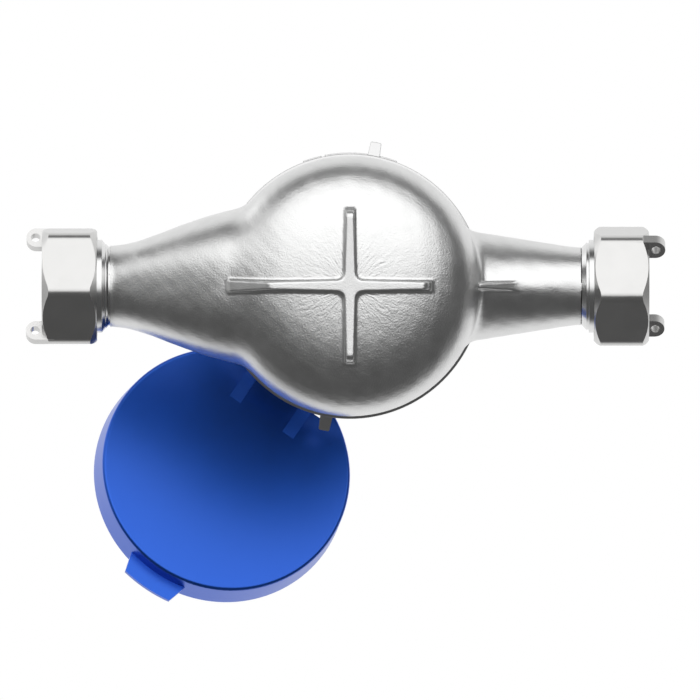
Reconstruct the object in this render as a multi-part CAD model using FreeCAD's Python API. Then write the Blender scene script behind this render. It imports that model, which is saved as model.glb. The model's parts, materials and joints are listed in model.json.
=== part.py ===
import FreeCAD, Part
import math
import os

from FreeCAD import Matrix, Vector

# Multi-jet water meter with a dry register under a hinged lid.
# Lengths are millimetres and angles are degrees.
# Z is up, the water runs along +X, and the origin is at the middle of the cross foot.

# Body casting
pipe_drop = 19.0
inlet_reach = 99.0
outlet_reach = 96.0
body_wall = 3.0
bowl_radius = 43.6
bowl_floor = 1.5
bowl_equator = 22.3
shoulder_height = 59.0
shoulder_step = 2.3
neck_height = 7.0
neck_wall = 3.7
neck_chamfer = 0.8
inner_shoulder_drop = 3.0
ledge_bottom = 34.0
ledge_thickness = 3.0
junction_fillet = 2.5
window_margin = 8.0

# Bowl section: share of the radius, share of the height from the floor to the equator
bowl_curve = ((0.37, 0.038), (0.60, 0.127), (0.75, 0.247), (0.88, 0.437), (0.94, 0.589))

# Inlet cone sections: distance from the meter axis, half width, depth below and height above the pipe axis
inlet_sections = (
    (80.8, 13.2, 13.2, 13.2),
    (74.0, 14.4, 15.3, 13.7),
    (57.0, 20.3, 23.0, 15.2),
)

# Cone sections inside the bowl: distance in from its radius, half width, floor height, gap below the shoulder
inlet_root_sections = (
    (5.6, 26.0, 8.8, 2.2),
    (27.6, 30.0, 5.4, 1.6),
)

# Spuds
spud_bore = 10.0
inlet_neck_radius = 13.2
outlet_neck_radius = 12.6
nozzle_root_gap = 0.05
nozzle_root_depth = 6.0
nozzle_root_wall = 3.75
collar_radius = 15.6
collar_length = 15.8
collar_taper = 2.4
thread_radius = 16.6
thread_length = 12.6
thread_chamfer = 0.8
thread_runout = 1.0
strainer_seat_depth = 1.6
strainer_seat_radius = 12.0

# Cross foot and gusset
rib_half_width_end = 1.25
rib_half_width_middle = 1.95
rib_draft = 0.55
rib_height = 12.0
rib_reach_side = 25.0
rib_reach_outlet = 26.0
rib_reach_inlet = 27.0
rib_end_slope = 2.6
rib_outlet_slope = 3.4
rib_inlet_slope = 20.0
rib_inlet_end = 40.7
rib_inlet_end_radius = 2.0
rib_inlet_end_half_width = 3.0
rib_edge_bevel = 0.5
gusset_reach = 57.0
gusset_half_width = 0.9
gusset_sink = 1.2
gusset_height = 8.7
gusset_root_depth = 4.0
gusset_slope = 3.2

# Union nuts
nut_across_flats = 37.5
nut_height = 18.4
nut_corner_radius = 4.4
nut_lip = 2.5
nut_chamfer_length = 2.85
nut_chamfer_depth = 0.35
nut_thread_clearance = 0.1
tail_hole_radius = 13.5
inlet_nut_turn = -5.0
outlet_nut_turn = -10.0
inlet_ear_turns = (120, -60)
outlet_ear_turns = (60, -120)
ear_thickness = 3.6
ear_width = 6.8
ear_middle_radius = 17.2
ear_length = 5.4
ear_root = 4.0
seal_hole_radius = 1.55
seal_hole_offset = 2.3
washer_thickness = 1.8
washer_clearance = 0.6

# Inlet strainer
strainer_length = 26.0
strainer_wall = 1.0
strainer_clearance = 0.2
strainer_slots = 8
strainer_slot_width = 2.4
strainer_slot_length = 8.0
strainer_slot_start = 4.0
strainer_slot_gap = 2.0
strainer_end_slots = 3
strainer_end_pitch = 5.0
strainer_end_width = 2.2
strainer_end_length = 10.0

# Cover ring
ring_wall = 3.2
ring_lift = 1.0
ring_height = 22.0
ring_flange = 2.5
ring_gap = 0.3
ring_edge = 0.8
ring_rim_width = 0.9
ring_rim_rise = 0.4
thread_clearance = 0.1
pad_rise = 0.45
pad_half_angle = 20.6
pad_inset = 2.4
pad_slot_angle = 11.7
pad_slot_width = 1.2
lug_turn = 10.3
lug_reach = 4.7
lug_width = 3.6
lug_draft = 0.35
lug_inset = 2.0
lug_root = 1.0
lug_edge_radius = 0.6
lug_slope = 18.0

# Lid and hinge, laid out about a hinge at +Y and then turned with the register
register_turn = 34.1
lid_open_angle = 199.0
hinge_offset = 6.32
hinge_rise = 12.1
pin_radius = 1.5
pin_clearance = 0.05
knuckle_radius = 3.2
bracket_half_width = 8.2
bracket_root = 1.0
heel_start = 4.3
heel_end = 6.6
heel_step = 0.3
bracket_inset = 0.2
arm_gap = 0.3
arm_outer = 13.0
pin_inset = 0.3
arm_reach = 22.0
lid_radius = 42.4
lid_flare = 0.9
lid_plate = 2.2
lid_skirt_wall = 2.0
lid_skirt_height = 12.8
lid_edge_radius = 1.2
lid_face_rise = 1.0
lid_notch_half_width = 17.0
lid_notch_reach = 33.5
lid_cut_margin = 5.0
skirt_relief_half_width = 26.0
stop_clearance = 0.05
tab_root_half_width = 10.8
tab_tip_half_width = 8.4
tab_reach = 49.1
tab_drop = 6.0
tab_thickness = 1.8
tab_root = 1.0

# Measuring chamber and impeller
chamber_radius = 27.0
chamber_wall = 2.0
chamber_floor = 12.0
chamber_floor_thickness = 2.5
chamber_drop = 12.0
chamber_clearance = 0.3
chamber_flange_radius = 30.0
chamber_flange_thickness = 2.2
chamber_seal_thickness = 0.8
chamber_ports = 8
port_width = 3.2
inlet_port_bottom = 17.0
inlet_port_height = 14.0
outlet_port_drop = 3.0
outlet_port_height = 9.0
port_offset = 16.0
cover_plate_thickness = 2.0
bearing_depth = 2.0
impeller_gap = 2.7
impeller_blades = 7
blade_thickness = 1.0
blade_rise = 4.5
blade_drop = 6.0
hub_lift = 1.0
pivot_end_gap = 0.1
hub_radius = 3.4
impeller_shaft_radius = 1.5
running_clearance = 0.05
pivot_radius = 0.8
pivot_base_radius = 1.6
pivot_length = 5.0
magnet_radius = 7.0
magnet_height = 3.6
magnet_gap = 0.6

# Pressure plate and its seal
plate_flange_thickness = 2.5
plate_flange_inset = 0.7
plate_spigot_clearance = 0.25
plate_spigot_wall = 4.4
plate_spigot_depth = 6.0
plate_web_drop = 4.5
plate_web_thickness = 2.5
o_ring_section = 2.6
o_ring_groove_depth = 2.3
o_ring_side_gap = 0.1
o_ring_corner = 0.7

# Register can and glass
can_wall = 1.8
can_floor = 2.0
can_shoulder_gap = 0.4
barrel_inset = 9.9
barrel_wall = 2.3
can_rise = 6.5
rebate_wall = 0.8
can_well_gap = 0.6
can_well_wall = 1.2
can_well_depth = 2.7
can_well_skin = 1.0
glass_thickness = 3.0
gasket_thickness = 0.8
glass_clearance = 0.1
bezel_height = 1.5
bezel_width = 3.3

# Register train
tooth_module = 0.5
tooth_head = 0.75
tooth_foot = 1.1
wheel_thickness = 1.2
layer_pitch = 1.5
lower_plate_rise = 1.7
gear_plate_gap = 0.4
gear_plate_thickness = 1.2
first_layer_gap = 0.4
last_layer_gap = 0.4
train_layers = 4
spindle_radius = 0.5
follower_spindle_radius = 0.6
follower_magnet_inset = 0.4
magnet_well_gap = 0.4
spindle_foot = 0.2
spindle_head = 0.8
pillar_radius = 1.2
pillar_foot_radius = 2.0
pillar_inset = 3.2
pillar_angles = (30, 150, 292)
pinion_teeth = 8
star_teeth = 32
reduction_teeth = 40
pointer_teeth = 24
star_angle = 215.0
second_angle = 300.0
dial_thickness = 0.6
dial_gap = 0.7
star_tip_radius = 3.2
star_points = 6
star_notch_share = 0.5
spindle_hole_gap = 0.3
pointer_length = 19.0
pointer_tail = 6.0
pointer_thickness = 0.6
pointer_hub_radius = 2.2
pointer_root_half_width = 1.1
pointer_middle_half_width = 0.9
pointer_tip_half_width = 0.25

# Number wheels
wheel_count = 5
wheel_radius = 4.6
wheel_width = 5.0
wheel_pitch = 5.4
wheel_row = 13.0
wheel_dial_gap = 0.2
wheel_axle_radius = 0.8
wheel_side_teeth = 20
wheel_side_module = 0.4
wheel_side_width = 1.0
wheel_window_gap = 0.4
cheek_gap = 0.1
cheek_thickness = 1.6
cheek_half_width = 3.0
cheek_drop = 2.2
axle_end = 1.7
window_width = 3.9
window_height = 5.8

# Pipe axis below the shoulder, and the cone and nozzle roots that follow from it
pipe_height = shoulder_height - pipe_drop
nozzle_root_radius = pipe_drop - nozzle_root_gap
cone_sections = list(inlet_sections)
for inset, half_width, floor, gap in inlet_root_sections:
    cone_sections.append((bowl_radius - inset, half_width, pipe_height - floor, pipe_drop - gap))

# Radii that follow from the bowl
neck_radius = bowl_radius - shoulder_step
neck_bore = neck_radius - neck_wall
ring_bore = neck_radius + thread_clearance
ring_radius = ring_bore + ring_wall
can_shoulder_radius = ring_bore - can_shoulder_gap
can_barrel_radius = ring_radius - barrel_inset
can_barrel_bore = can_barrel_radius - barrel_wall
can_rebate = can_barrel_radius - rebate_wall
can_well_radius = magnet_radius + can_well_gap
ring_opening = can_barrel_radius + ring_gap
gear_plate_radius = can_barrel_bore - gear_plate_gap
pillar_circle = gear_plate_radius - pillar_inset
hinge_distance = ring_radius - hinge_offset
pad_radius = ring_radius + pad_rise
lug_tip_radius = ring_radius + lug_reach
plate_flange_radius = neck_radius - plate_flange_inset
nozzle_bore_root_radius = nozzle_root_radius - nozzle_root_wall

# Heights that follow from the shoulder
lip_face_offset = washer_thickness + nut_lip
neck_top = shoulder_height + neck_height
ring_bottom = shoulder_height + ring_lift
ring_top = ring_bottom + ring_height
plate_web_bottom = neck_top - plate_web_drop
chamber_top = neck_top - chamber_drop
can_top = ring_top + can_rise
ledge_top = ledge_bottom + ledge_thickness
flange_bottom = ledge_top + chamber_seal_thickness
chamber_inner = chamber_radius - chamber_wall
impeller_radius = chamber_inner - impeller_gap
chamber_floor_top = chamber_floor + chamber_floor_thickness
blade_bottom = chamber_floor_top + blade_rise
blade_top = chamber_top - blade_drop
outlet_port_bottom = chamber_top - outlet_port_drop - outlet_port_height
cover_plate_top = chamber_top + cover_plate_thickness
plate_flange_top = neck_top + plate_flange_thickness
can_bottom = plate_flange_top
can_floor_top = can_bottom + can_floor
can_shoulder_top = ring_top - ring_flange
lower_plate_bottom = can_floor_top + lower_plate_rise
first_layer = lower_plate_bottom + gear_plate_thickness + first_layer_gap
upper_plate_bottom = first_layer + train_layers * layer_pitch + last_layer_gap
dial_bottom = upper_plate_bottom + gear_plate_thickness
dial_top = dial_bottom + dial_thickness
star_bottom = dial_top + dial_gap
pointer_bottom = star_bottom + layer_pitch
glass_bottom = can_top - glass_thickness
hinge_height = ring_top + hinge_rise
lid_face = hinge_height + lid_face_rise
wheel_axis_height = dial_bottom - wheel_dial_gap - wheel_radius
wheel_window_half_length = wheel_count * wheel_pitch / 2 + wheel_window_gap

parts = {}


def tube(outer, inner, low, high):
    """Upright cylinder from low to high, with a bore when inner is above zero."""
    solid = Part.makeCylinder(outer, high - low, Vector(0, 0, low))
    if inner > 0:
        bore = Part.makeCylinder(inner, high - low + 2, Vector(0, 0, low - 1))
        solid = solid.cut(bore)
    return solid


def upright_box(x_low, x_high, y_low, y_high, low, high):
    return Part.makeBox(x_high - x_low, y_high - y_low, high - low, Vector(x_low, y_low, low))


def turned(outline):
    """Solid turned about the meter axis from (radius, height) corners."""
    points = [Vector(radius, 0, height) for radius, height in outline]
    face = Part.Face(Part.makePolygon(points + points[:1]))
    return face.revolve(Vector(0, 0, 0), Vector(0, 0, 1), 360)


def turned_about_pipe(outline):
    """Solid turned about the pipe axis from (x, radius) corners."""
    points = [Vector(x, 0, pipe_height + radius) for x, radius in outline]
    face = Part.Face(Part.makePolygon(points + points[:1]))
    return face.revolve(Vector(0, 0, pipe_height), Vector(1, 0, 0), 360)


def prism(outline, low, high):
    """Upright prism from (x, y) corners."""
    points = [Vector(x, y, low) for x, y in outline]
    face = Part.Face(Part.makePolygon(points + points[:1]))
    return face.extrude(Vector(0, 0, high - low))


def side_prism(outline, half_width):
    """Prism along X from (y, z) corners, as wide on both sides of the middle."""
    points = [Vector(-half_width, y, z) for y, z in outline]
    face = Part.Face(Part.makePolygon(points + points[:1]))
    return face.extrude(Vector(2 * half_width, 0, 0))


def spun(solid, angle, centre=Vector(0, 0, 0), axis=Vector(0, 0, 1)):
    copy = solid.copy()
    copy.rotate(centre, axis, angle)
    return copy


def polar(radius, angle):
    return (radius * math.cos(math.radians(angle)), radius * math.sin(math.radians(angle)))


def fused(solids):
    return solids[0].multiFuse(solids[1:]).removeSplitter()


def drafted(bottom, bottom_height, top, top_height):
    """Straight-sided block between two outlines with the same number of corners."""
    wires = []
    for outline, height in ((bottom, bottom_height), (top, top_height)):
        points = [Vector(x, y, height) for x, y in outline]
        wires.append(Part.makePolygon(points + points[:1]))
    return Part.makeLoft(wires, True, True)


def rounded(solid, radius, chosen):
    """The solid with a fillet on each edge that the test picks."""
    edges = [edge for edge in solid.Edges if chosen(edge)]
    return solid.makeFillet(radius, edges)


def bowl_solid(radius, floor, equator, top):
    """Domed bowl with a full, rounded corner and an upright wall."""
    height = equator - floor
    points = [Vector(0, 0, floor)]
    points += [Vector(share * radius, 0, floor + rise * height) for share, rise in bowl_curve]
    points.append(Vector(radius, 0, equator))
    curve = Part.BSplineCurve()
    curve.interpolate(Points=points, InitialTangent=Vector(1, 0, 0), FinalTangent=Vector(0, 0, 1))
    wall = Part.makePolygon([points[-1], Vector(radius, 0, top), Vector(0, 0, top), points[0]])
    wire = Part.Wire([curve.toShape()] + wall.Edges)
    return Part.Face(wire).revolve(Vector(0, 0, 0), Vector(0, 0, 1), 360)


def inlet_cone(inset):
    """Inlet passage form, wider than the pipe and sloping down towards the bowl."""
    wires = []
    for reach, half_width, depth, rise in cone_sections:
        middle = pipe_height + (rise - depth) / 2
        half_height = (rise + depth) / 2 - inset
        circle = Part.Wire(Part.makeCircle(1, Vector(0, 0, 0), Vector(1, 0, 0)))
        shape = Matrix()
        shape.A22 = half_width - inset
        shape.A33 = half_height
        shape.move(Vector(-reach, 0, middle))
        wires.append(Part.Wire(circle.transformGeometry(shape).Edges))
    return Part.makeLoft(wires, True, False)


def spud(side, reach, neck, root_x, root_radius):
    """Threaded spud, collar and neck on the pipe axis, reaching to root_x."""
    end = side * reach
    inward = -side
    outline = [
        (end, 0),
        (end, thread_radius - thread_chamfer),
        (end + inward * thread_chamfer, thread_radius),
        (end + inward * thread_length, thread_radius),
        (end + inward * (thread_length + thread_runout), collar_radius),
        (end + inward * collar_length, collar_radius),
        (end + inward * (collar_length + collar_taper), neck),
        (root_x, root_radius),
        (root_x, 0),
    ]
    return turned_about_pipe(outline)


def rib(along_x, reach_low, reach_high, slope_low, slope_high):
    """One bar of the cross foot, narrower at its ends, drafted on every side and bevelled below."""
    bottom_end = rib_half_width_end
    bottom_middle = rib_half_width_middle
    bevel = rib_edge_bevel
    sole = bar_outline(reach_low - bevel, reach_high - bevel, bottom_end - bevel, bottom_middle - bevel)
    bottom = bar_outline(reach_low, reach_high, bottom_end, bottom_middle)
    top = bar_outline(reach_low + slope_low, reach_high + slope_high,
                      bottom_end + 2 * rib_draft, bottom_middle + rib_draft)
    bar = drafted(sole, 0, bottom, bevel).fuse(drafted(bottom, bevel, top, rib_height))
    if not along_x:
        bar = spun(bar, 90)
    return bar


def inlet_end():
    """Upright block that gives the long inlet bar its rounded far end."""
    half = rib_inlet_end_half_width
    block = upright_box(-rib_inlet_end, rib_reach_outlet + rib_outlet_slope, -half, half, 0, rib_height)
    return rounded(block, rib_inlet_end_radius, lambda edge: abs(edge.BoundBox.XMax + rib_inlet_end) < 0.01
                   and edge.BoundBox.ZLength > rib_height / 2)


def bar_outline(reach_low, reach_high, end, middle):
    return [(-reach_low, -end), (0, -middle), (reach_high, -end),
            (reach_high, end), (0, middle), (-reach_low, end)]


def gusset():
    """Drafted fin between the bowl and the underside of the outlet nozzle."""
    top_height = pipe_height - outlet_neck_radius - gusset_sink
    root = bowl_radius - gusset_root_depth
    bottom = bar_outline(-root, bowl_radius, gusset_half_width, gusset_half_width)
    bottom[1] = ((root + bowl_radius) / 2, -gusset_half_width)
    bottom[4] = ((root + bowl_radius) / 2, gusset_half_width)
    wide = 2 * gusset_half_width
    top = bar_outline(-root, gusset_reach + gusset_slope, wide, wide)
    top[1] = ((root + gusset_reach) / 2, -wide)
    top[4] = ((root + gusset_reach) / 2, wide)
    return drafted(bottom, top_height - gusset_height, top, top_height)


def meeting_edges(solid, first, second):
    """Edges of the solid where the surfaces of two of its forms cross."""
    found = []
    for edge in solid.Edges:
        middle = Part.Vertex(edge.valueAt((edge.FirstParameter + edge.LastParameter) / 2))
        on_both = all(middle.distToShape(form.Shells[0])[0] < 0.001 for form in (first, second))
        if on_both and edge.Length > 2 * junction_fillet:
            found.append(edge)
    return found


def body_shell():
    """Outside of the casting: bowl, screwed neck, inlet cone and outlet nozzle, with cast fillets."""
    bowl = bowl_solid(bowl_radius, bowl_floor, bowl_equator, shoulder_height)
    neck = turned([
        (0, shoulder_height - body_wall),
        (neck_radius, shoulder_height - body_wall),
        (neck_radius, neck_top - neck_chamfer),
        (neck_radius - neck_chamfer, neck_top),
        (0, neck_top),
    ])
    nozzle = spud(1, outlet_reach, outlet_neck_radius, bowl_radius - nozzle_root_depth, nozzle_root_radius)
    inlet_root = -inlet_sections[0][0]
    inlet = spud(-1, inlet_reach, inlet_neck_radius, inlet_root, inlet_neck_radius)
    shell = bowl
    for form in (inlet_cone(0), nozzle):
        shell = shell.fuse(form).removeSplitter()
        shell = shell.makeFillet(junction_fillet, meeting_edges(shell, bowl, form))
    return shell.fuse(inlet).fuse(neck)


def water_ways():
    """Everything that is hollow in the casting."""
    inner = bowl_solid(bowl_radius - body_wall, bowl_floor + body_wall, bowl_equator,
                       shoulder_height - inner_shoulder_drop)
    ledge = tube(bowl_radius, chamber_radius + chamber_clearance, ledge_bottom, ledge_top)
    top_bore = tube(neck_bore, 0, shoulder_height - 2 * inner_shoulder_drop, neck_top + 1)
    inside = inner.cut(ledge).fuse(top_bore)
    outside_bowl = bowl_solid(bowl_radius, bowl_floor, bowl_equator, shoulder_height)
    cone = inlet_cone(body_wall).cut(outside_bowl)
    inlet_bore = turned_about_pipe([(-inlet_reach - 1, 0), (-inlet_reach - 1, spud_bore),
                                    (-inlet_sections[1][0] + 1, spud_bore), (-inlet_sections[1][0] + 1, 0)])
    seat = turned_about_pipe([(-inlet_reach - 1, 0), (-inlet_reach - 1, strainer_seat_radius),
                              (-inlet_reach + strainer_seat_depth, strainer_seat_radius),
                              (-inlet_reach + strainer_seat_depth, 0)])
    throat = outlet_reach - collar_length - collar_taper
    nozzle = turned_about_pipe([(outlet_reach + 1, 0), (outlet_reach + 1, spud_bore), (throat, spud_bore),
                                (bowl_radius - window_margin, nozzle_bore_root_radius),
                                (bowl_radius - window_margin, 0)])
    nozzle = nozzle.cut(outside_bowl)
    half = cone_sections[3][1] - 2 * body_wall
    inlet_window = upright_box(-bowl_radius - window_margin / 2, 0, -half, half,
                               bowl_floor + 3 * body_wall, ledge_bottom)
    inlet_window = inlet_window.common(inlet_cone(body_wall))
    inlet_window = inlet_window.cut(tube(bowl_radius - body_wall - 1, 0, 0, ledge_bottom))
    half = nozzle_bore_root_radius - body_wall
    outlet_window = upright_box(bowl_radius - window_margin, bowl_radius + window_margin / 2, -half, half,
                                ledge_top, pipe_height + half)
    return fused([inside, cone, inlet_bore, seat, nozzle, inlet_window, outlet_window])


def body_casting():
    shell = body_shell()
    feet = fused([
        rib(True, rib_reach_inlet, rib_reach_outlet, rib_inlet_slope, rib_outlet_slope).common(inlet_end()),
        rib(False, rib_reach_side, rib_reach_side, rib_end_slope, rib_end_slope),
    ])
    shell = shell.fuse(feet).fuse(gusset())
    return shell.cut(water_ways()).removeSplitter()


def hexagon(across_flats, turn):
    """Corners (y, z) of a hexagon, with its first corner at turn from straight down, towards -Y."""
    corner = across_flats / math.sqrt(3)
    corners = []
    for index in range(6):
        angle = math.radians(turn + 60 * index)
        corners.append((-corner * math.sin(angle), -corner * math.cos(angle)))
    return corners


def union_nut(side, reach, turn, ear_turns):
    """Hexagon union nut with an inner lip, rounded corners and two pierced sealing ears."""
    outer_face = side * (reach + lip_face_offset)
    inner_face = outer_face - side * nut_height
    points = [Vector(outer_face, y, pipe_height + z) for y, z in hexagon(nut_across_flats, turn)]
    block = Part.Face(Part.makePolygon(points + points[:1])).extrude(Vector(-side * nut_height, 0, 0))
    block = rounded(block, nut_corner_radius, lambda edge: abs(edge.Length - nut_height) < 0.01)
    corner = nut_across_flats / math.sqrt(3)
    rim = nut_across_flats / 2 - nut_chamfer_depth
    envelope = turned_about_pipe([
        (outer_face, 0),
        (outer_face, rim),
        (outer_face - side * nut_chamfer_length, corner),
        (inner_face + side * nut_chamfer_length, corner),
        (inner_face, rim),
        (inner_face, 0),
    ])
    nut = block.common(envelope)
    for ear_turn in ear_turns:
        nut = nut.fuse(sealing_ear(side, outer_face, turn + ear_turn))
    bore = turned_about_pipe([
        (inner_face - side, 0),
        (inner_face - side, thread_radius + nut_thread_clearance),
        (outer_face - side * nut_lip, thread_radius + nut_thread_clearance),
        (outer_face - side * nut_lip, tail_hole_radius),
        (outer_face + side, tail_hole_radius),
        (outer_face + side, 0),
    ])
    nut = nut.cut(bore)
    for ear_turn in ear_turns:
        nut = nut.cut(ear_hole(side, outer_face, turn + ear_turn))
    return nut.removeSplitter()


def placed_on_pipe(solid, turn):
    """Turn a solid built below the pipe axis about that axis, from straight down towards -Y."""
    return spun(solid, -turn, Vector(0, 0, pipe_height), Vector(1, 0, 0))


def sealing_ear(side, outer_face, turn):
    """Plate on the nut's corner with a rounded end beyond the outer face."""
    tip_radius = ear_width / 2
    middle = outer_face + side * (ear_length - tip_radius)
    root = outer_face - side * ear_root
    centre_height = pipe_height - ear_middle_radius
    half = ear_thickness / 2
    plate = upright_box(min(root, middle), max(root, middle), -half, half,
                        centre_height - tip_radius, centre_height + tip_radius)
    tip = Part.makeCylinder(tip_radius, ear_thickness, Vector(middle, -half, centre_height), Vector(0, 1, 0))
    return placed_on_pipe(plate.fuse(tip), turn)


def ear_hole(side, outer_face, turn):
    centre = Vector(outer_face + side * seal_hole_offset, -ear_thickness, pipe_height - ear_middle_radius)
    hole = Part.makeCylinder(seal_hole_radius, 2 * ear_thickness, centre, Vector(0, 1, 0))
    return placed_on_pipe(hole, turn)


def washer(side, reach):
    outer = thread_radius - washer_clearance
    return turned_about_pipe([
        (side * reach, spud_bore),
        (side * reach, outer),
        (side * (reach + washer_thickness), outer),
        (side * (reach + washer_thickness), spud_bore),
    ])


def inlet_strainer():
    """Slotted cup that sits in the inlet spud with its rim in the counterbore."""
    outer = spud_bore - strainer_clearance
    inner = outer - strainer_wall
    face = -inlet_reach
    end = face + strainer_length
    rim = strainer_seat_radius - strainer_clearance
    cup = turned_about_pipe([
        (face, inner),
        (face, rim),
        (face + strainer_seat_depth, rim),
        (face + strainer_seat_depth, outer),
        (end, outer),
        (end, 0),
        (end - strainer_wall, 0),
        (end - strainer_wall, inner),
    ])
    slots = []
    for row in range(2):
        start = face + strainer_slot_start + row * (strainer_slot_length + strainer_slot_gap)
        for index in range(strainer_slots):
            slot = upright_box(start, start + strainer_slot_length, -strainer_slot_width / 2,
                               strainer_slot_width / 2, pipe_height + inner - 2, pipe_height + outer + 2)
            slots.append(spun(slot, 360 * index / strainer_slots, Vector(0, 0, pipe_height), Vector(1, 0, 0)))
    half_length = strainer_end_length / 2
    half_width = strainer_end_width / 2
    for index in range(strainer_end_slots):
        height = pipe_height + strainer_end_pitch * (index - (strainer_end_slots - 1) / 2)
        slots.append(upright_box(end - 2 * strainer_wall, end + strainer_wall, -half_length, half_length,
                                 height - half_width, height + half_width))
    return cup.cut(Part.makeCompound(slots))


def ring_pad():
    """Raised pad on the ring's rim, split by a narrow slot."""
    low = ring_bottom + pad_inset
    high = ring_top - pad_inset
    pad = Part.makeCylinder(pad_radius, high - low, Vector(0, 0, low), Vector(0, 0, 1), 2 * pad_half_angle)
    pad = spun(pad, 270 - pad_half_angle)
    half = pad_slot_width / 2
    slot = upright_box(-half, half, -pad_radius - 1, -ring_radius, low - 1, high + 1)
    return pad.cut(spun(slot, -pad_slot_angle))


def wrench_lug():
    """Upright lug for the ring spanner, pointing to -Y before it is turned."""
    half = lug_width / 2
    root = half + lug_draft
    outline = [(-root, -ring_radius + lug_root), (-half, -lug_tip_radius), (half, -lug_tip_radius),
               (root, -ring_radius + lug_root)]
    low = ring_bottom + lug_inset
    lug = prism(outline, low, ring_top - lug_inset)
    lug = rounded(lug, lug_edge_radius, lambda edge: edge.BoundBox.YMax < -ring_radius)
    rise = lug_reach * math.tan(math.radians(lug_slope))
    below = side_prism([(-ring_radius, low), (-lug_tip_radius, low + rise), (-lug_tip_radius, low)], root)
    return lug.cut(below)


def hinge_bracket():
    """Lug between the lid's two arms, with the pin hole and the heel that stops the open lid."""
    lean = math.radians(lid_open_angle - 180)
    across = lid_face_rise + stop_clearance
    heel = []
    for reach in (heel_start, heel_end):
        heel.append((hinge_distance + reach * math.cos(lean) - across * math.sin(lean),
                     hinge_height - reach * math.sin(lean) - across * math.cos(lean)))
    inner = hinge_distance - knuckle_radius + bracket_inset
    front = hinge_distance + knuckle_radius - heel_step
    root = ring_top - bracket_root
    outline = [
        (inner, root),
        (inner, hinge_height),
        (front, hinge_height),
        (front, heel[0][1] + heel_step),
        heel[0],
        heel[1],
        (heel[1][0], root),
    ]
    block = side_prism(outline, bracket_half_width)
    block = block.common(tube(ring_radius - ring_edge, 0, root, hinge_height + 1))
    knuckle = hinge_rod(knuckle_radius, bracket_half_width)
    return block.fuse(knuckle)


def hinge_rod(radius, half_width):
    """Rod on the hinge axis."""
    start = Vector(-half_width, hinge_distance, hinge_height)
    return Part.makeCylinder(radius, 2 * half_width, start, Vector(1, 0, 0))


def cover_ring():
    ring = turned([
        (ring_bore, ring_bottom),
        (ring_radius - ring_rim_width, ring_bottom),
        (ring_radius, ring_bottom + ring_rim_rise),
        (ring_radius, ring_top - ring_edge),
        (ring_radius - ring_edge, ring_top),
        (ring_opening, ring_top),
        (ring_opening, can_shoulder_top),
        (ring_bore, can_shoulder_top),
    ])
    core = tube(ring_bore, 0, ring_bottom - 1, ring_top + 1)
    extras = [ring_pad().cut(core), spun(wrench_lug(), lug_turn), spun(wrench_lug(), lug_turn + 180),
              spun(hinge_bracket(), register_turn)]
    ring = ring.multiFuse(extras)
    return ring.cut(spun(hinge_rod(pin_radius, bracket_half_width + 1), register_turn)).removeSplitter()


def hinge_pin():
    return spun(hinge_rod(pin_radius, arm_outer - pin_inset), register_turn)


def lid_shell():
    """Round cap with a flared skirt and a rounded top edge."""
    foot = lid_face - lid_skirt_height
    inner_top = lid_face - lid_plate
    foot_radius = lid_radius + lid_flare
    shell = turned([
        (0, inner_top),
        (lid_radius - lid_skirt_wall, inner_top),
        (foot_radius - lid_skirt_wall, foot),
        (foot_radius, foot),
        (lid_radius, lid_face),
        (0, lid_face),
    ])
    return rounded(shell, lid_edge_radius, lambda edge: abs(edge.BoundBox.ZMin - lid_face) < 0.01
                   and edge.BoundBox.XLength > lid_radius)


def thumb_tab():
    """Tab on the skirt opposite the hinge, with a curved outer edge."""
    top = lid_face - tab_drop
    start = -lid_radius + tab_root
    end = -tab_reach - tab_root
    outline = [(-tab_root_half_width, start + 2 * tab_root), (-tab_root_half_width, start),
               (-tab_tip_half_width, end), (tab_tip_half_width, end),
               (tab_root_half_width, start), (tab_root_half_width, start + 2 * tab_root)]
    plate = prism(outline, top - tab_thickness, top)
    return plate.common(tube(tab_reach, lid_radius - tab_root, top - tab_thickness, top))


def lid_arm(side):
    """Hinge arm: a ramp on the outer face that ends in an eye round the pin."""
    inner = bracket_half_width + arm_gap
    outline = [
        (arm_reach, lid_face),
        (arm_reach, lid_face - lid_plate / 2),
        (lid_notch_reach, lid_face - lid_plate),
        (hinge_distance, hinge_height - knuckle_radius),
        (hinge_distance, hinge_height + knuckle_radius),
    ]
    half = (arm_outer - inner) / 2
    middle = side * (arm_outer + inner) / 2
    arm = side_prism(outline, half)
    arm = arm.fuse(hinge_rod(knuckle_radius, half))
    arm.translate(Vector(middle, 0, 0))
    return arm


def lid():
    """Lid at its open rest, lying back on the bracket's heel."""
    shell = lid_shell()
    relief = upright_box(-skirt_relief_half_width, skirt_relief_half_width, 0, lid_radius + lid_cut_margin,
                         lid_face - lid_skirt_height - 1, lid_face - lid_plate)
    notch = upright_box(-lid_notch_half_width, lid_notch_half_width, lid_notch_reach,
                        lid_radius + lid_cut_margin, lid_face - lid_skirt_height - 1, lid_face + 1)
    shell = shell.cut(relief).cut(notch)
    shell = shell.multiFuse([thumb_tab(), lid_arm(-1), lid_arm(1)])
    shell = shell.cut(hinge_rod(pin_radius + pin_clearance, arm_outer + 1)).removeSplitter()
    shell.rotate(Vector(0, hinge_distance, hinge_height), Vector(-1, 0, 0), lid_open_angle)
    return spun(shell, register_turn)


def chamber_ports_cut(bottom, height, direction):
    """Slanting ports through the chamber wall, all leaning the same way round."""
    ports = []
    for index in range(chamber_ports):
        port = upright_box(0, chamber_radius + chamber_wall, port_offset - port_width / 2,
                           port_offset + port_width / 2, bottom, bottom + height)
        if direction < 0:
            port = port.mirror(Vector(0, 0, 0), Vector(0, 1, 0))
        ports.append(spun(port, 360 * index / chamber_ports))
    return Part.makeCompound(ports)


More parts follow.
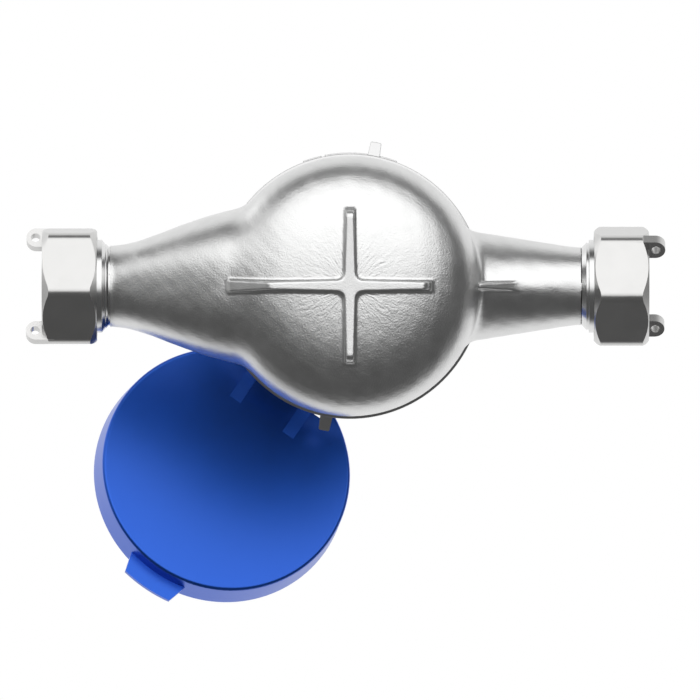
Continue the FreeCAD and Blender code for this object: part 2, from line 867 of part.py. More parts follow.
def measuring_chamber():
    cup = turned([
        (pivot_base_radius, chamber_floor),
        (chamber_radius, chamber_floor),
        (chamber_radius, flange_bottom),
        (chamber_flange_radius, flange_bottom),
        (chamber_flange_radius, flange_bottom + chamber_flange_thickness),
        (chamber_radius, flange_bottom + chamber_flange_thickness),
        (chamber_radius, chamber_top),
        (chamber_inner, chamber_top),
        (chamber_inner, chamber_floor_top),
        (pivot_base_radius, chamber_floor_top),
    ])
    cup = cup.cut(chamber_ports_cut(inlet_port_bottom, inlet_port_height, 1))
    return cup.cut(chamber_ports_cut(outlet_port_bottom, outlet_port_height, -1))


def chamber_seal():
    return tube(chamber_flange_radius, chamber_radius + chamber_clearance, ledge_top, flange_bottom)


def chamber_cover():
    """Disc with the impeller's upper bearing and a rim that meets the pressure plate."""
    bearing = impeller_shaft_radius + running_clearance
    return turned([
        (bearing, chamber_top - bearing_depth),
        (hub_radius, chamber_top - bearing_depth),
        (hub_radius, chamber_top),
        (chamber_radius, chamber_top),
        (chamber_radius, plate_web_bottom),
        (chamber_inner, plate_web_bottom),
        (chamber_inner, cover_plate_top),
        (bearing, cover_plate_top),
    ])


def impeller_pivot():
    base = tube(pivot_base_radius, 0, chamber_floor, chamber_floor_top)
    return base.fuse(tube(pivot_radius, 0, chamber_floor_top, chamber_floor_top + pivot_length))


def impeller():
    """Hub with flat blades, a blind bearing bore below and the magnet's shaft above."""
    pivot_tip = chamber_floor_top + pivot_length
    hub_bottom = chamber_floor_top + hub_lift
    hub = tube(hub_radius, 0, hub_bottom, blade_top)
    shaft = tube(impeller_shaft_radius, 0, blade_top, plate_web_bottom - magnet_gap)
    blades = []
    half = blade_thickness / 2
    for index in range(impeller_blades):
        blade = upright_box(0, impeller_radius, -half, half, blade_bottom, blade_top)
        blades.append(spun(blade, 360 * index / impeller_blades))
    bore = tube(pivot_radius + running_clearance, 0, hub_bottom - 1, pivot_tip + pivot_end_gap)
    return hub.multiFuse([shaft] + blades).cut(bore).removeSplitter()


def drive_magnet():
    top = plate_web_bottom - magnet_gap
    return tube(magnet_radius, impeller_shaft_radius, top - magnet_height, top)


def pressure_plate():
    """Dished plate that closes the wet side, with an O-ring groove in its spigot."""
    spigot = neck_bore - plate_spigot_clearance
    bottom = neck_top - plate_spigot_depth
    middle = (bottom + neck_top) / 2
    half = o_ring_section / 2 + o_ring_side_gap
    web_top = plate_web_bottom + plate_web_thickness
    recess = spigot - plate_spigot_wall
    return turned([
        (0, plate_web_bottom),
        (recess, plate_web_bottom),
        (recess, bottom),
        (spigot, bottom),
        (spigot, middle - half),
        (spigot - o_ring_groove_depth, middle - half),
        (spigot - o_ring_groove_depth, middle + half),
        (spigot, middle + half),
        (spigot, neck_top),
        (plate_flange_radius, neck_top),
        (plate_flange_radius, plate_flange_top),
        (recess, plate_flange_top),
        (recess, web_top),
        (0, web_top),
    ])


def body_o_ring():
    """O-ring squeezed between the plate's groove and the neck bore."""
    middle = neck_top - plate_spigot_depth / 2
    inner = neck_bore - plate_spigot_clearance - o_ring_groove_depth
    half = o_ring_section / 2
    corner = o_ring_corner
    return turned([
        (inner, middle - half + corner),
        (inner + corner, middle - half),
        (neck_bore - corner, middle - half),
        (neck_bore, middle - half + corner),
        (neck_bore, middle + half - corner),
        (neck_bore - corner, middle + half),
        (inner + corner, middle + half),
        (inner, middle + half - corner),
    ])


def register_can():
    """Stepped can with a magnet well, a shoulder under the ring's flange and a rebate for the glass."""
    inner = can_shoulder_radius - can_wall
    well_outer = can_well_radius + can_well_wall
    well_bottom = can_bottom - can_well_depth - can_well_skin
    ledge = glass_bottom - gasket_thickness
    return turned([
        (0, well_bottom),
        (well_outer, well_bottom),
        (well_outer, can_bottom),
        (can_shoulder_radius, can_bottom),
        (can_shoulder_radius, can_shoulder_top),
        (can_barrel_radius, can_shoulder_top),
        (can_barrel_radius, can_top),
        (can_rebate, can_top),
        (can_rebate, ledge),
        (can_barrel_bore, ledge),
        (can_barrel_bore, can_shoulder_top - can_wall),
        (inner, can_shoulder_top - can_wall),
        (inner, can_floor_top),
        (can_well_radius, can_floor_top),
        (can_well_radius, well_bottom + can_well_skin),
        (0, well_bottom + can_well_skin),
    ])


def gear(teeth, module, low, high, phase, centre=(0, 0)):
    """Spur wheel with straight-sided teeth; phase is the angle of its first tooth."""
    pitch_radius = teeth * module / 2
    tip = pitch_radius + tooth_head * module
    root = pitch_radius - tooth_foot * module
    pitch = 360 / teeth
    outline = []
    for index in range(teeth):
        angle = phase + index * pitch
        for radius, share in ((root, -0.30), (tip, -0.11), (tip, 0.11), (root, 0.30)):
            x, y = polar(radius, angle + share * pitch)
            outline.append((centre[0] + x, centre[1] + y))
    return prism(outline, low, high)


def meshed_phase(phase, teeth, direction, next_teeth):
    """Phase of the next wheel, which lies in the given direction and meshes with this one."""
    share = ((direction - phase) * teeth / 360) % 1
    return direction + 180 - (0.5 - share) * 360 / next_teeth


def layer(index):
    """Bottom and top of a gear layer, counted from the lower plate."""
    low = first_layer + index * layer_pitch
    return (low, low + wheel_thickness)


def rod(radius, low, high, centre):
    return Part.makeCylinder(radius, high - low, Vector(centre[0], centre[1], low))


def direction_between(start, end):
    return math.degrees(math.atan2(end[1] - start[1], end[0] - start[0]))


def train_centres():
    """Spindle centres: the star wheel and the last wheel are set by angle, the one between by distance."""
    star = polar((pinion_teeth + star_teeth) * tooth_module / 2, star_angle)
    second = polar((pinion_teeth + pointer_teeth) * tooth_module / 2, second_angle)
    reach = (pinion_teeth + reduction_teeth) * tooth_module / 2
    middle = ((star[0] + second[0]) / 2, (star[1] + second[1]) / 2)
    half = math.hypot(second[0] - star[0], second[1] - star[1]) / 2
    offset = math.sqrt(reach ** 2 - half ** 2)
    across = direction_between(star, second) - 90
    step = polar(offset, across)
    first = (middle[0] + step[0], middle[1] + step[1])
    return star, first, second


def register_train():
    """Follower, leak star wheel, two reduction wheels and the pointer wheel, all in mesh."""
    star, first, second = train_centres()
    centre = (0, 0)
    plate_hole_top = upper_plate_bottom + gear_plate_thickness

    magnet_low = can_bottom - can_well_depth + magnet_well_gap
    magnet_high = magnet_low + magnet_height
    magnet = tube(magnet_radius - follower_magnet_inset, follower_spindle_radius, magnet_low, magnet_high)
    low, high = layer(0)
    spindle = rod(follower_spindle_radius, magnet_low - spindle_foot, high + spindle_head, centre)
    follower_phase = 0
    follower = spindle.fuse(gear(pinion_teeth, tooth_module, low, high, follower_phase))

    star_phase = meshed_phase(follower_phase, pinion_teeth, direction_between(centre, star), star_teeth)
    wheel = gear(star_teeth, tooth_module, low, high, star_phase, star)
    low, high = layer(1)
    pinion = gear(pinion_teeth, tooth_module, low - layer_pitch + wheel_thickness, high, 0, star)
    spindle = rod(spindle_radius, lower_plate_bottom, star_bottom + layer_pitch / 2, star)
    star_wheel = fused([wheel, pinion, spindle])

    first_phase = meshed_phase(0, pinion_teeth, direction_between(star, first), reduction_teeth)
    first_wheel = compound_wheel(first, reduction_teeth, first_phase, 1, plate_hole_top)

    second_phase = meshed_phase(0, pinion_teeth, direction_between(first, second), reduction_teeth)
    second_wheel = compound_wheel(second, reduction_teeth, second_phase, 2, plate_hole_top)

    low, high = layer(3)
    pointer_phase = meshed_phase(0, pinion_teeth, direction_between(second, centre), pointer_teeth)
    wheel = gear(pointer_teeth, tooth_module, low, high, pointer_phase)
    spindle = rod(spindle_radius, low, pointer_bottom + pointer_thickness, centre)
    pointer_wheel = wheel.fuse(spindle)
    return magnet, follower, star_wheel, first_wheel, second_wheel, pointer_wheel


def compound_wheel(centre, teeth, phase, level, spindle_top):
    """Wheel with its pinion in the layer above, on one spindle."""
    low, high = layer(level)
    wheel = gear(teeth, tooth_module, low, high, phase, centre)
    pinion_low, pinion_high = layer(level + 1)
    pinion = gear(pinion_teeth, tooth_module, high, pinion_high, 0, centre)
    spindle = rod(spindle_radius, lower_plate_bottom, spindle_top, centre)
    return fused([wheel, pinion, spindle])


def pillar_centres():
    return [polar(pillar_circle, angle) for angle in pillar_angles]


def wheel_window(low, high, margin):
    half_height = wheel_radius + margin
    return upright_box(-wheel_window_half_length, wheel_window_half_length,
                       wheel_row - half_height, wheel_row + half_height, low, high)


def lower_gear_plate():
    top = lower_plate_bottom + gear_plate_thickness
    plate = tube(gear_plate_radius, 0, lower_plate_bottom, top)
    holes = [rod(follower_spindle_radius + running_clearance, lower_plate_bottom - 1, top + 1, (0, 0))]
    for centre in train_centres():
        holes.append(rod(spindle_radius + running_clearance, lower_plate_bottom - 1, top + 1, centre))
    for centre in pillar_centres():
        holes.append(rod(pillar_radius, lower_plate_bottom - 1, top + 1, centre))
    holes.append(wheel_window(lower_plate_bottom - 1, top + 1, wheel_window_gap))
    return plate.cut(Part.makeCompound(holes))


def upper_gear_plate():
    """Plate over the train, with two cheeks below it that carry the number wheels' axle."""
    plate = tube(gear_plate_radius, 0, upper_plate_bottom, dial_bottom)
    holes = [rod(spindle_radius + running_clearance, upper_plate_bottom - 1, dial_bottom + 1, (0, 0))]
    for centre in train_centres():
        holes.append(rod(spindle_radius + running_clearance, upper_plate_bottom - 1, dial_bottom + 1, centre))
    holes.append(wheel_window(upper_plate_bottom - 1, dial_bottom + 1, wheel_window_gap))
    plate = plate.cut(Part.makeCompound(holes))
    for side in (-1, 1):
        inner = side * (wheel_window_half_length + cheek_gap)
        outer = inner + side * cheek_thickness
        cheek = upright_box(min(inner, outer), max(inner, outer), wheel_row - cheek_half_width,
                            wheel_row + cheek_half_width, wheel_axis_height - cheek_drop, upper_plate_bottom)
        plate = plate.fuse(cheek)
    return plate.cut(axle_rod(wheel_axle_radius)).removeSplitter()


def axle_rod(radius):
    half = wheel_window_half_length + axle_end
    return Part.makeCylinder(radius, 2 * half, Vector(-half, wheel_row, wheel_axis_height), Vector(1, 0, 0))


def plate_pillars():
    pillars = []
    for centre in pillar_centres():
        foot = rod(pillar_foot_radius, can_floor_top, lower_plate_bottom, centre)
        post = rod(pillar_radius, can_floor_top, upper_plate_bottom, centre)
        pillars.append(foot.fuse(post).removeSplitter())
    return Part.makeCompound(pillars)


def dial_plate():
    """Printed plate with a window for each number wheel and holes for the two spindles."""
    plate = tube(gear_plate_radius, 0, dial_bottom, dial_top)
    star = train_centres()[0]
    hole_radius = spindle_radius + spindle_hole_gap
    holes = [rod(hole_radius, dial_bottom - 1, dial_top + 1, centre) for centre in ((0, 0), star)]
    for index in range(wheel_count):
        middle = wheel_place(index)
        holes.append(upright_box(middle - window_width / 2, middle + window_width / 2,
                                 wheel_row - window_height / 2, wheel_row + window_height / 2,
                                 dial_bottom - 1, dial_top + 1))
    return plate.cut(Part.makeCompound(holes))


def wheel_place(index):
    """Middle of a number wheel along the row, counted from the right."""
    return wheel_pitch * ((wheel_count - 1) / 2 - index)


def number_wheel(index):
    """Number drum with a toothed ring on its right side."""
    middle = wheel_place(index)
    low = middle - wheel_width / 2
    drum_width = wheel_width - wheel_side_width
    drum = Part.makeCylinder(wheel_radius, drum_width, Vector(low, 0, 0), Vector(1, 0, 0))
    side = gear(wheel_side_teeth, wheel_side_module, 0, wheel_side_width, 0)
    side = spun(side, 90, Vector(0, 0, 0), Vector(0, 1, 0))
    side.translate(Vector(low + drum_width, 0, 0))
    bore_radius = wheel_axle_radius + running_clearance
    bore = Part.makeCylinder(bore_radius, wheel_width + 2, Vector(low - 1, 0, 0), Vector(1, 0, 0))
    drum = drum.fuse(side).cut(bore).removeSplitter()
    drum.translate(Vector(0, wheel_row, wheel_axis_height))
    return drum


def leak_star():
    outline = []
    for index in range(2 * star_points):
        radius = star_tip_radius if index % 2 == 0 else star_tip_radius * star_notch_share
        outline.append(polar(radius, 180 * index / star_points))
    star = prism(outline, star_bottom, star_bottom + pointer_thickness)
    star = star.cut(tube(spindle_radius, 0, star_bottom - 1, star_bottom + 2))
    centre = train_centres()[0]
    star.translate(Vector(centre[0], centre[1], 0))
    return star


def pointer():
    """Sweep hand, narrow at its tip, with a round hub and a broad tail."""
    top = pointer_bottom + pointer_thickness
    right = [(pointer_root_half_width, -pointer_tail), (pointer_middle_half_width, 0),
             (pointer_tip_half_width, pointer_length)]
    left = [(-x, y) for x, y in reversed(right)]
    blade = prism(right + left, pointer_bottom, top)
    hub = tube(pointer_hub_radius, 0, pointer_bottom, top)
    return blade.fuse(hub).cut(tube(spindle_radius, 0, pointer_bottom - 1, top + 1)).removeSplitter()


def register_pieces():
    """Pieces that turn with the register to face the lid's hinge."""
    magnet, follower, star_wheel, first_wheel, second_wheel, pointer_wheel = register_train()
    pieces = {
        "register_can": register_can(),
        "follower_magnet": magnet,
        "follower_spindle": follower,
        "star_wheel": star_wheel,
        "first_reduction_wheel": first_wheel,
        "second_reduction_wheel": second_wheel,
        "pointer_wheel": pointer_wheel,
        "lower_gear_plate": lower_gear_plate(),
        "upper_gear_plate": upper_gear_plate(),
        "plate_pillars": plate_pillars(),
        "dial_plate": dial_plate(),
        "leak_star": leak_star(),
        "pointer": pointer(),
        "number_wheel_axle": axle_rod(wheel_axle_radius),
        "glass_gasket": tube(can_rebate - glass_clearance, can_barrel_bore, glass_bottom - gasket_thickness,
                             glass_bottom),
        "register_glass": tube(can_rebate - glass_clearance, 0, glass_bottom, can_top),
        "glass_bezel": tube(can_barrel_radius, can_barrel_radius - bezel_width, can_top,
                            can_top + bezel_height),
    }
    for index in range(wheel_count):
        pieces["number_wheel_%d" % (index + 1)] = number_wheel(index)
    return {name: spun(solid, register_turn) for name, solid in pieces.items()}


parts["body_casting"] = body_casting()
parts["cover_ring"] = cover_ring()
parts["hinge_pin"] = hinge_pin()
parts["lid"] = lid()
parts["inlet_union_nut"] = union_nut(-1, inlet_reach, inlet_nut_turn, inlet_ear_turns)
parts["outlet_union_nut"] = union_nut(1, outlet_reach, outlet_nut_turn, outlet_ear_turns)
parts["inlet_washer"] = washer(-1, inlet_reach)
parts["outlet_washer"] = washer(1, outlet_reach)
parts["inlet_strainer"] = inlet_strainer()
parts["measuring_chamber"] = measuring_chamber()
parts["chamber_seal"] = chamber_seal()
parts["chamber_cover"] = chamber_cover()
parts["impeller_pivot"] = impeller_pivot()
parts["impeller"] = impeller()
parts["drive_magnet"] = drive_magnet()
parts["pressure_plate"] = pressure_plate()
parts["body_o_ring"] = body_o_ring()
parts.update(register_pieces())

os.makedirs("parts", exist_ok=True)
for name, shape in parts.items():
    shape.exportStep("parts/%s.step" % name)
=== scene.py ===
import json
import math

import bpy
import bmesh
import numpy as np
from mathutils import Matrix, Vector


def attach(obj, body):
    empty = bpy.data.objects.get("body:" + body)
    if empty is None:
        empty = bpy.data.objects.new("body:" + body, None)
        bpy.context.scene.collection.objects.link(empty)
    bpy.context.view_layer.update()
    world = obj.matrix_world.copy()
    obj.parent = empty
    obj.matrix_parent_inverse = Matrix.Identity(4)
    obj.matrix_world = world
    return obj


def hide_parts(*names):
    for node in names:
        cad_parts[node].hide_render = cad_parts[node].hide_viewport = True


# Multi-jet water meter with a stainless body, seen from straight below.
# Lengths are in metres, or in millimetres where a heading says so. The water runs along +X and Z is up.

mm = 0.001

# View
view_centre_y = 0.02142
view_height = 0.040
view_width = 0.2350
view_distance = 8.0
sensor_width = 36.0
floor_half_width = 3.0
floor_drop = 0.05 * mm

# Light, by direction: across is to the picture's right, up is to its top, and front is towards the camera.
# In each pair the light starts to show at the first number and is full at the second.
dark_level = 0.09
softbox_level = 1.28
softbox_core = 1.52
softbox_middle = 0.50
softbox_half_height = 0.66
softbox_reach_left = 0.71
softbox_reach_right = 0.79
softbox_outline = (1.42, 0.62)
softbox_front = (0.17, 0.46)
core_up = (-0.05, 0.35)
core_aside = (0.95, 0.15)
left_panel_level = 0.30
left_panel_across = (-0.70, -0.95)
left_panel_up = (-0.45, 0.05)
upper_panel_level = 0.60
upper_panel_across = (-0.55, -0.80)
upper_panel_up = (0.15, 0.45)
backdrop_level = 0.98
backdrop_front = (0.05, -0.545)

# Colours
cast_grey = (0.735, 0.737, 0.734)
ring_grey = (0.63, 0.63, 0.63)
nut_grey = (0.61, 0.607, 0.600)
lid_blue = (0.010, 0.105, 0.61)

# Metals: colour, roughness of their smooth and their dull patches, size and depth of their grain,
# and where it isn't 1 and 0, the share that is metallic and the radius of their worn edges
metals = {
    "ring_stainless": (ring_grey, 0.26, 0.34, 0.5 * mm, 0.010 * mm, 1.0, 0.45 * mm),
    "polished_stainless": (nut_grey, 0.24, 0.27, 0.5 * mm, 0.003 * mm, 0.94),
    "turned_stainless": (cast_grey, 0.20, 0.24, 0.5 * mm, 0.002 * mm),
    "ferrite": ((0.12, 0.12, 0.13), 0.50, 0.60, 0.3 * mm, 0.010 * mm),
    "brass_posts": ((0.78, 0.60, 0.28), 0.20, 0.30, 0.4 * mm, 0.004 * mm),
}

# Plastics: colour and roughness, and for the lid how metallic its satin is and how strong its coat is
plastics = {
    "blue_plastic": (lid_blue, 0.40, 0.94, 0.55),
    "black_rubber": ((0.03, 0.03, 0.03), 0.70),
    "white_plastic": ((0.80, 0.80, 0.78), 0.45),
    "grey_plastic": ((0.35, 0.36, 0.37), 0.45),
    "black_plastic": ((0.03, 0.03, 0.035), 0.40),
    "red_plastic": ((0.70, 0.03, 0.02), 0.30),
    "number_white": ((0.88, 0.88, 0.86), 0.50),
    "dial_white": ((0.90, 0.90, 0.88), 0.50),
}

# Surfaces
coat_roughness = 0.3
patch_edge = 0.3
metal_patch_size = 8 * mm
plastic_patch_size = 12 * mm
glass_patch_size = 9 * mm
moulded_grain_size = 0.6 * mm
moulded_grain_depth = 0.01 * mm
cast_roughness = 0.31
cast_roughness_change = 0.02
cast_patch_size = 5 * mm
pebble_size = 0.6 * mm
pebble_depth = 0.068 * mm
grit_size = 0.35 * mm
grit_depth = 0.025 * mm
wrinkles_a_radian = 15.0
wrinkle_length = 3.6 * mm
wrinkle_depth = 0.105 * mm
wrinkle_stray_size = 3.5 * mm
wrinkle_stray_turn = 3.2
wrinkle_stray_run = 1.5

# Where the wrinkles start to show and where they are full, by radius and by height
wrinkle_inner = (1 * mm, 5 * mm)
wrinkle_outer = (29 * mm, 12 * mm)
wrinkle_upper = (14 * mm, 7 * mm)
wrinkle_sole = (0.6 * mm, 1.3 * mm)

# Bowl and inlet passage, in millimetres
pipe_height = 40.0
inlet_reach = 99.0
outlet_reach = 96.0
bowl_radius = 43.6
bowl_floor = 1.5
bowl_equator = 22.3
shoulder_height = 59.0

# Shares of the bowl's radius, and of its height from the floor to the equator
bowl_curve = ((0.37, 0.038), (0.60, 0.127), (0.75, 0.247), (0.88, 0.437), (0.94, 0.589))

# Distance from the meter's middle, half-width, depth below the pipe's axis and height above it
inlet_sections = (
    (80.8, 13.2, 13.2, 13.2),
    (74.0, 14.4, 16.3, 13.7),
    (57.0, 20.3, 24.3, 15.2),
    (38.0, 26.0, 31.6, 16.8),
    (16.0, 30.0, 34.6, 17.4),
)

# Necks, spuds, cross foot and gusset, in millimetres
inlet_neck_radius = 13.2
outlet_neck_radius = 12.6
nozzle_root_radius = 18.95
nozzle_root_depth = 6.0
collar_radius = 15.6
collar_length = 15.8
collar_taper = 2.4
thread_radius = 16.6
thread_length = 12.6
thread_runout = 1.0
rib_half_width_end = 1.25
rib_half_width_middle = 1.95
rib_draft = 0.55
rib_height = 12.0
rib_reach_side = 25.0
rib_reach_outlet = 26.0
rib_reach_inlet = 27.0
rib_end_slope = 2.6
rib_outlet_slope = 3.4
rib_inlet_slope = 20.0
rib_inlet_end = 40.7
rib_inlet_end_radius = 2.0
rib_inlet_end_half_width = 3.0
gusset_reach = 57.0
gusset_half_width = 0.9
gusset_sink = 1.2
gusset_height = 8.7
gusset_root_depth = 4.0
gusset_slope = 3.2

# Casting skin, in millimetres
cone_flatness = 2.5
cone_flatness_run = 10.0
nozzle_pinch = 1.64
nozzle_pinch_length = 26.0
nozzle_pinch_band = 4.0
cone_fillet = 3.0
nozzle_fillet = 3.0
neck_fillet = 1.2
collar_edge = 0.25
rib_edge = 0.6
rib_end_round = 1.3
rib_end_round_height = 2.2
rib_fillet = 1.2
cross_fillet = 3.0
gusset_edge = 0.4
gusset_fillet = 0.6
cast_waviness = 0.02
cast_waviness_fade = 3.0
section_steps = 500
wall_step = 0.1
table_step = 0.5
table_radius = 100.0
table_bottom = -6.0
table_top = 72.0
skin_step = 0.75
skin_fine_step = 0.36
skin_rib_band = 4.2
skin_foot_height = 12.0
skin_bottom = -1.0
skin_side_room = 1.4
skin_reach = 2.3
skin_cover = 0.5
skin_margin = 0.02
settle_turns = 3
settle_step = 0.02
settle_least_slope = 0.05

# Turned collars, in millimetres
collar_foot_end = 0.5
inlet_collar_first_taper = 1.1
inlet_collar_rise = 0.9
inlet_collar_step = 0.25
inlet_collar_foot = -0.25
outlet_collar_first_taper = 0.12
outlet_collar_rise = 2.0
outlet_collar_step = 0.8
outlet_collar_foot = 0.35
collar_corner = 0.12
collar_corner_steps = 4
collar_overlap = 0.6
collar_turn_steps = 160

# Dial, in millimetres, with its turns in degrees
register_turn = 34.1
dial_top = 82.0
wheel_row = 13.0
wheel_axis_height = 76.6
wheel_radius = 4.6
wheel_pitch = 5.4
wheel_count = 5
window_width = 3.9
window_height = 5.8
window_line = 0.3
print_rise = 0.03
wheel_digit_height = 2.1
wheel_digit_shift = -0.22
scale_radius = 20.9
scale_short = 0.9
scale_long = 1.8
scale_line = 0.22
scale_long_line = 0.33
scale_count = 50
scale_digit_radius = 25.2
scale_digit_height = 2.8
digit_strips = 7
digit_turn = 36

# Threads, in millimetres
thread_pitch = 2.309
thread_depth = 1.48
thread_chamfer = 0.8
thread_flat = 0.12
thread_lead_start = 0.4
thread_lead = 1.2
thread_fade = 1.6
thread_turn_steps = 120
thread_pitch_steps = 12


# Nodes

def link(tree, source, target):
    tree.links.new(source, target)


def maths(tree, operation, first, second=None, third=None):
    """One Math node; each input is a number or another node's output."""
    node = tree.nodes.new("ShaderNodeMath")
    node.operation = operation
    for socket, value in zip(node.inputs, (first, second, third)):
        if value is None:
            continue
        if isinstance(value, (int, float)):
            socket.default_value = value
        else:
            link(tree, value, socket)
    return node.outputs[0]


def product(tree, first, second):
    return maths(tree, "MULTIPLY", first, second)


def squared(tree, value):
    return maths(tree, "POWER", maths(tree, "ABSOLUTE", value), 2.0)


def eased(tree, value, low, high):
    """0 below low, 1 above high and smooth between them. Low may be the larger of the two."""
    node = tree.nodes.new("ShaderNodeMapRange")
    node.interpolation_type = "SMOOTHERSTEP"
    link(tree, value, node.inputs["Value"])
    node.inputs["From Min"].default_value = low
    node.inputs["From Max"].default_value = high
    return node.outputs["Result"]


def spread(tree, value, low, high, edge=0.0):
    """The run of a value from edge to 1 - edge, spread evenly from low to high."""
    node = tree.nodes.new("ShaderNodeMapRange")
    link(tree, value, node.inputs["Value"])
    node.inputs["From Min"].default_value = edge
    node.inputs["From Max"].default_value = 1 - edge
    node.inputs["To Min"].default_value = low
    node.inputs["To Max"].default_value = high
    return node.outputs["Result"]


def noise(tree, place, size, detail, roughness, distortion=0.0):
    """Noise with patches or grains of about the given size."""
    node = tree.nodes.new("ShaderNodeTexNoise")
    node.inputs["Scale"].default_value = 1 / size
    node.inputs["Detail"].default_value = detail
    node.inputs["Roughness"].default_value = roughness
    node.inputs["Distortion"].default_value = distortion
    link(tree, place, node.inputs["Vector"])
    return node.outputs["Fac"]


def tinted(tree, patches, colour, darker, lighter, edge=patch_edge):
    """Colour that wanders with the patches between a darker and a lighter share of itself."""
    node = tree.nodes.new("ShaderNodeValToRGB")
    for index, share in enumerate((darker, lighter)):
        element = node.color_ramp.elements[index]
        element.position = 1 - edge if index else edge
        element.color = (*(min(1.0, share * part) for part in colour), 1.0)
    link(tree, patches, node.inputs["Fac"])
    return node.outputs["Color"]


def bumped(tree, height, distance, below=None):
    """Normals of a fine relief, on top of another node's normals where below is given."""
    node = tree.nodes.new("ShaderNodeBump")
    node.inputs["Distance"].default_value = distance
    link(tree, height, node.inputs["Height"])
    if below is not None:
        link(tree, below, node.inputs["Normal"])
    return node.outputs["Normal"]


def rounded_edges(tree, radius):
    node = tree.nodes.new("ShaderNodeBevel")
    node.samples = 6
    node.inputs["Radius"].default_value = radius
    return node.outputs["Normal"]


def new_material(name):
    material = bpy.data.materials.new(name)
    material.use_nodes = True
    tree = material.node_tree
    shader = tree.nodes["Principled BSDF"]
    place = tree.nodes.new("ShaderNodeTexCoord").outputs["Object"]
    return material, tree, shader, place


def metal(name, colour, smooth, rough, grain_size, grain_depth, share=1.0, worn=0.0):
    """Metal with glossier and duller patches, a tint that wanders, a fine grain and worn edges."""
    material, tree, shader, place = new_material(name)
    patches = noise(tree, place, metal_patch_size, 4.0, 0.55)
    link(tree, tinted(tree, patches, colour, 0.97, 1.02), shader.inputs["Base Color"])
    link(tree, spread(tree, patches, smooth, rough, patch_edge), shader.inputs["Roughness"])
    shader.inputs["Metallic"].default_value = share
    grain = noise(tree, place, grain_size, 5.0, 0.6)
    edges = rounded_edges(tree, worn) if worn else None
    link(tree, bumped(tree, grain, grain_depth, below=edges), shader.inputs["Normal"])
    return material


def fan_wrinkles(tree, place):
    """Wrinkles that fan out from the middle of the cross foot and die away up the bowl."""
    parts = tree.nodes.new("ShaderNodeSeparateXYZ")
    link(tree, place, parts.inputs["Vector"])
    x, y, z = (parts.outputs[axis] for axis in "XYZ")
    radius = maths(tree, "SQRT", maths(tree, "ADD", product(tree, x, x), product(tree, y, y)))
    stray = noise(tree, place, wrinkle_stray_size, 2.0, 0.5)
    angle = maths(tree, "MULTIPLY_ADD", maths(tree, "ARCTAN2", y, x), wrinkles_a_radian,
                  product(tree, stray, wrinkle_stray_turn))
    run = maths(tree, "MULTIPLY_ADD", radius, 1 / wrinkle_length, product(tree, stray, wrinkle_stray_run))
    spot = tree.nodes.new("ShaderNodeCombineXYZ")
    link(tree, angle, spot.inputs["X"])
    link(tree, run, spot.inputs["Y"])
    pattern = noise(tree, spot.outputs["Vector"], 1.0, 1.5, 0.4)
    near = product(tree, eased(tree, radius, *wrinkle_outer), eased(tree, radius, *wrinkle_inner))
    low = product(tree, eased(tree, z, *wrinkle_upper), eased(tree, z, *wrinkle_sole))
    return product(tree, pattern, product(tree, near, low))


def cast_metal(name, colour):
    """Blasted and tumbled casting: pebbled skin, finer grit in it, and wrinkles round the foot."""
    material, tree, shader, place = new_material(name)
    patches = noise(tree, place, cast_patch_size, 3.0, 0.5)
    link(tree, tinted(tree, patches, colour, 0.96, 1.03, 0.35), shader.inputs["Base Color"])
    roughness = spread(tree, patches, cast_roughness - cast_roughness_change,
                       cast_roughness + cast_roughness_change, patch_edge)
    link(tree, roughness, shader.inputs["Roughness"])
    shader.inputs["Metallic"].default_value = 1.0
    wrinkles = bumped(tree, fan_wrinkles(tree, place), wrinkle_depth)
    pebbles = bumped(tree, noise(tree, place, pebble_size, 2.0, 0.5, 0.4), pebble_depth, below=wrinkles)
    grit = bumped(tree, noise(tree, place, grit_size, 2.0, 0.6), grit_depth, below=pebbles)
    link(tree, grit, shader.inputs["Normal"])
    return material


def plastic(name, colour, roughness, satin=0.0, coat=0.0):
    """Moulded plastic or rubber: slow tint changes and a fine moulded grain."""
    material, tree, shader, place = new_material(name)
    patches = noise(tree, place, plastic_patch_size, 3.0, 0.5)
    link(tree, tinted(tree, patches, colour, 0.98, 1.02), shader.inputs["Base Color"])
    link(tree, spread(tree, patches, 0.9 * roughness, 1.1 * roughness), shader.inputs["Roughness"])
    shader.inputs["Metallic"].default_value = satin
    shader.inputs["Coat Weight"].default_value = coat
    shader.inputs["Coat Roughness"].default_value = coat_roughness
    grain = noise(tree, place, moulded_grain_size, 4.0, 0.6)
    link(tree, bumped(tree, grain, moulded_grain_depth), shader.inputs["Normal"])
    return material


def clear_glass(name):
    """Clear glass, a little less even in some patches than in others."""
    material, tree, shader, place = new_material(name)
    shader.inputs["Base Color"].default_value = (0.96, 0.985, 0.98, 1.0)
    shader.inputs["Transmission Weight"].default_value = 1.0
    shader.inputs["IOR"].default_value = 1.5
    patches = noise(tree, place, glass_patch_size, 3.0, 0.5)
    link(tree, spread(tree, patches, 0.01, 0.03), shader.inputs["Roughness"])
    return material


# Stage

def softbox_shares(tree, across, up, front):
    """How far a direction is inside the softbox, and inside its brighter core."""
    reach = maths(tree, "MULTIPLY_ADD", maths(tree, "GREATER_THAN", across, 0.0),
                  softbox_reach_right - softbox_reach_left, softbox_reach_left)
    rise = maths(tree, "SUBTRACT", up, softbox_middle)
    wide = squared(tree, maths(tree, "DIVIDE", across, reach))
    tall = squared(tree, maths(tree, "DIVIDE", rise, softbox_half_height))
    inside = eased(tree, maths(tree, "ADD", wide, tall), *softbox_outline)
    box = product(tree, inside, eased(tree, front, *softbox_front))
    core = product(tree, eased(tree, up, *core_up), eased(tree, wide, *core_aside))
    return box, core


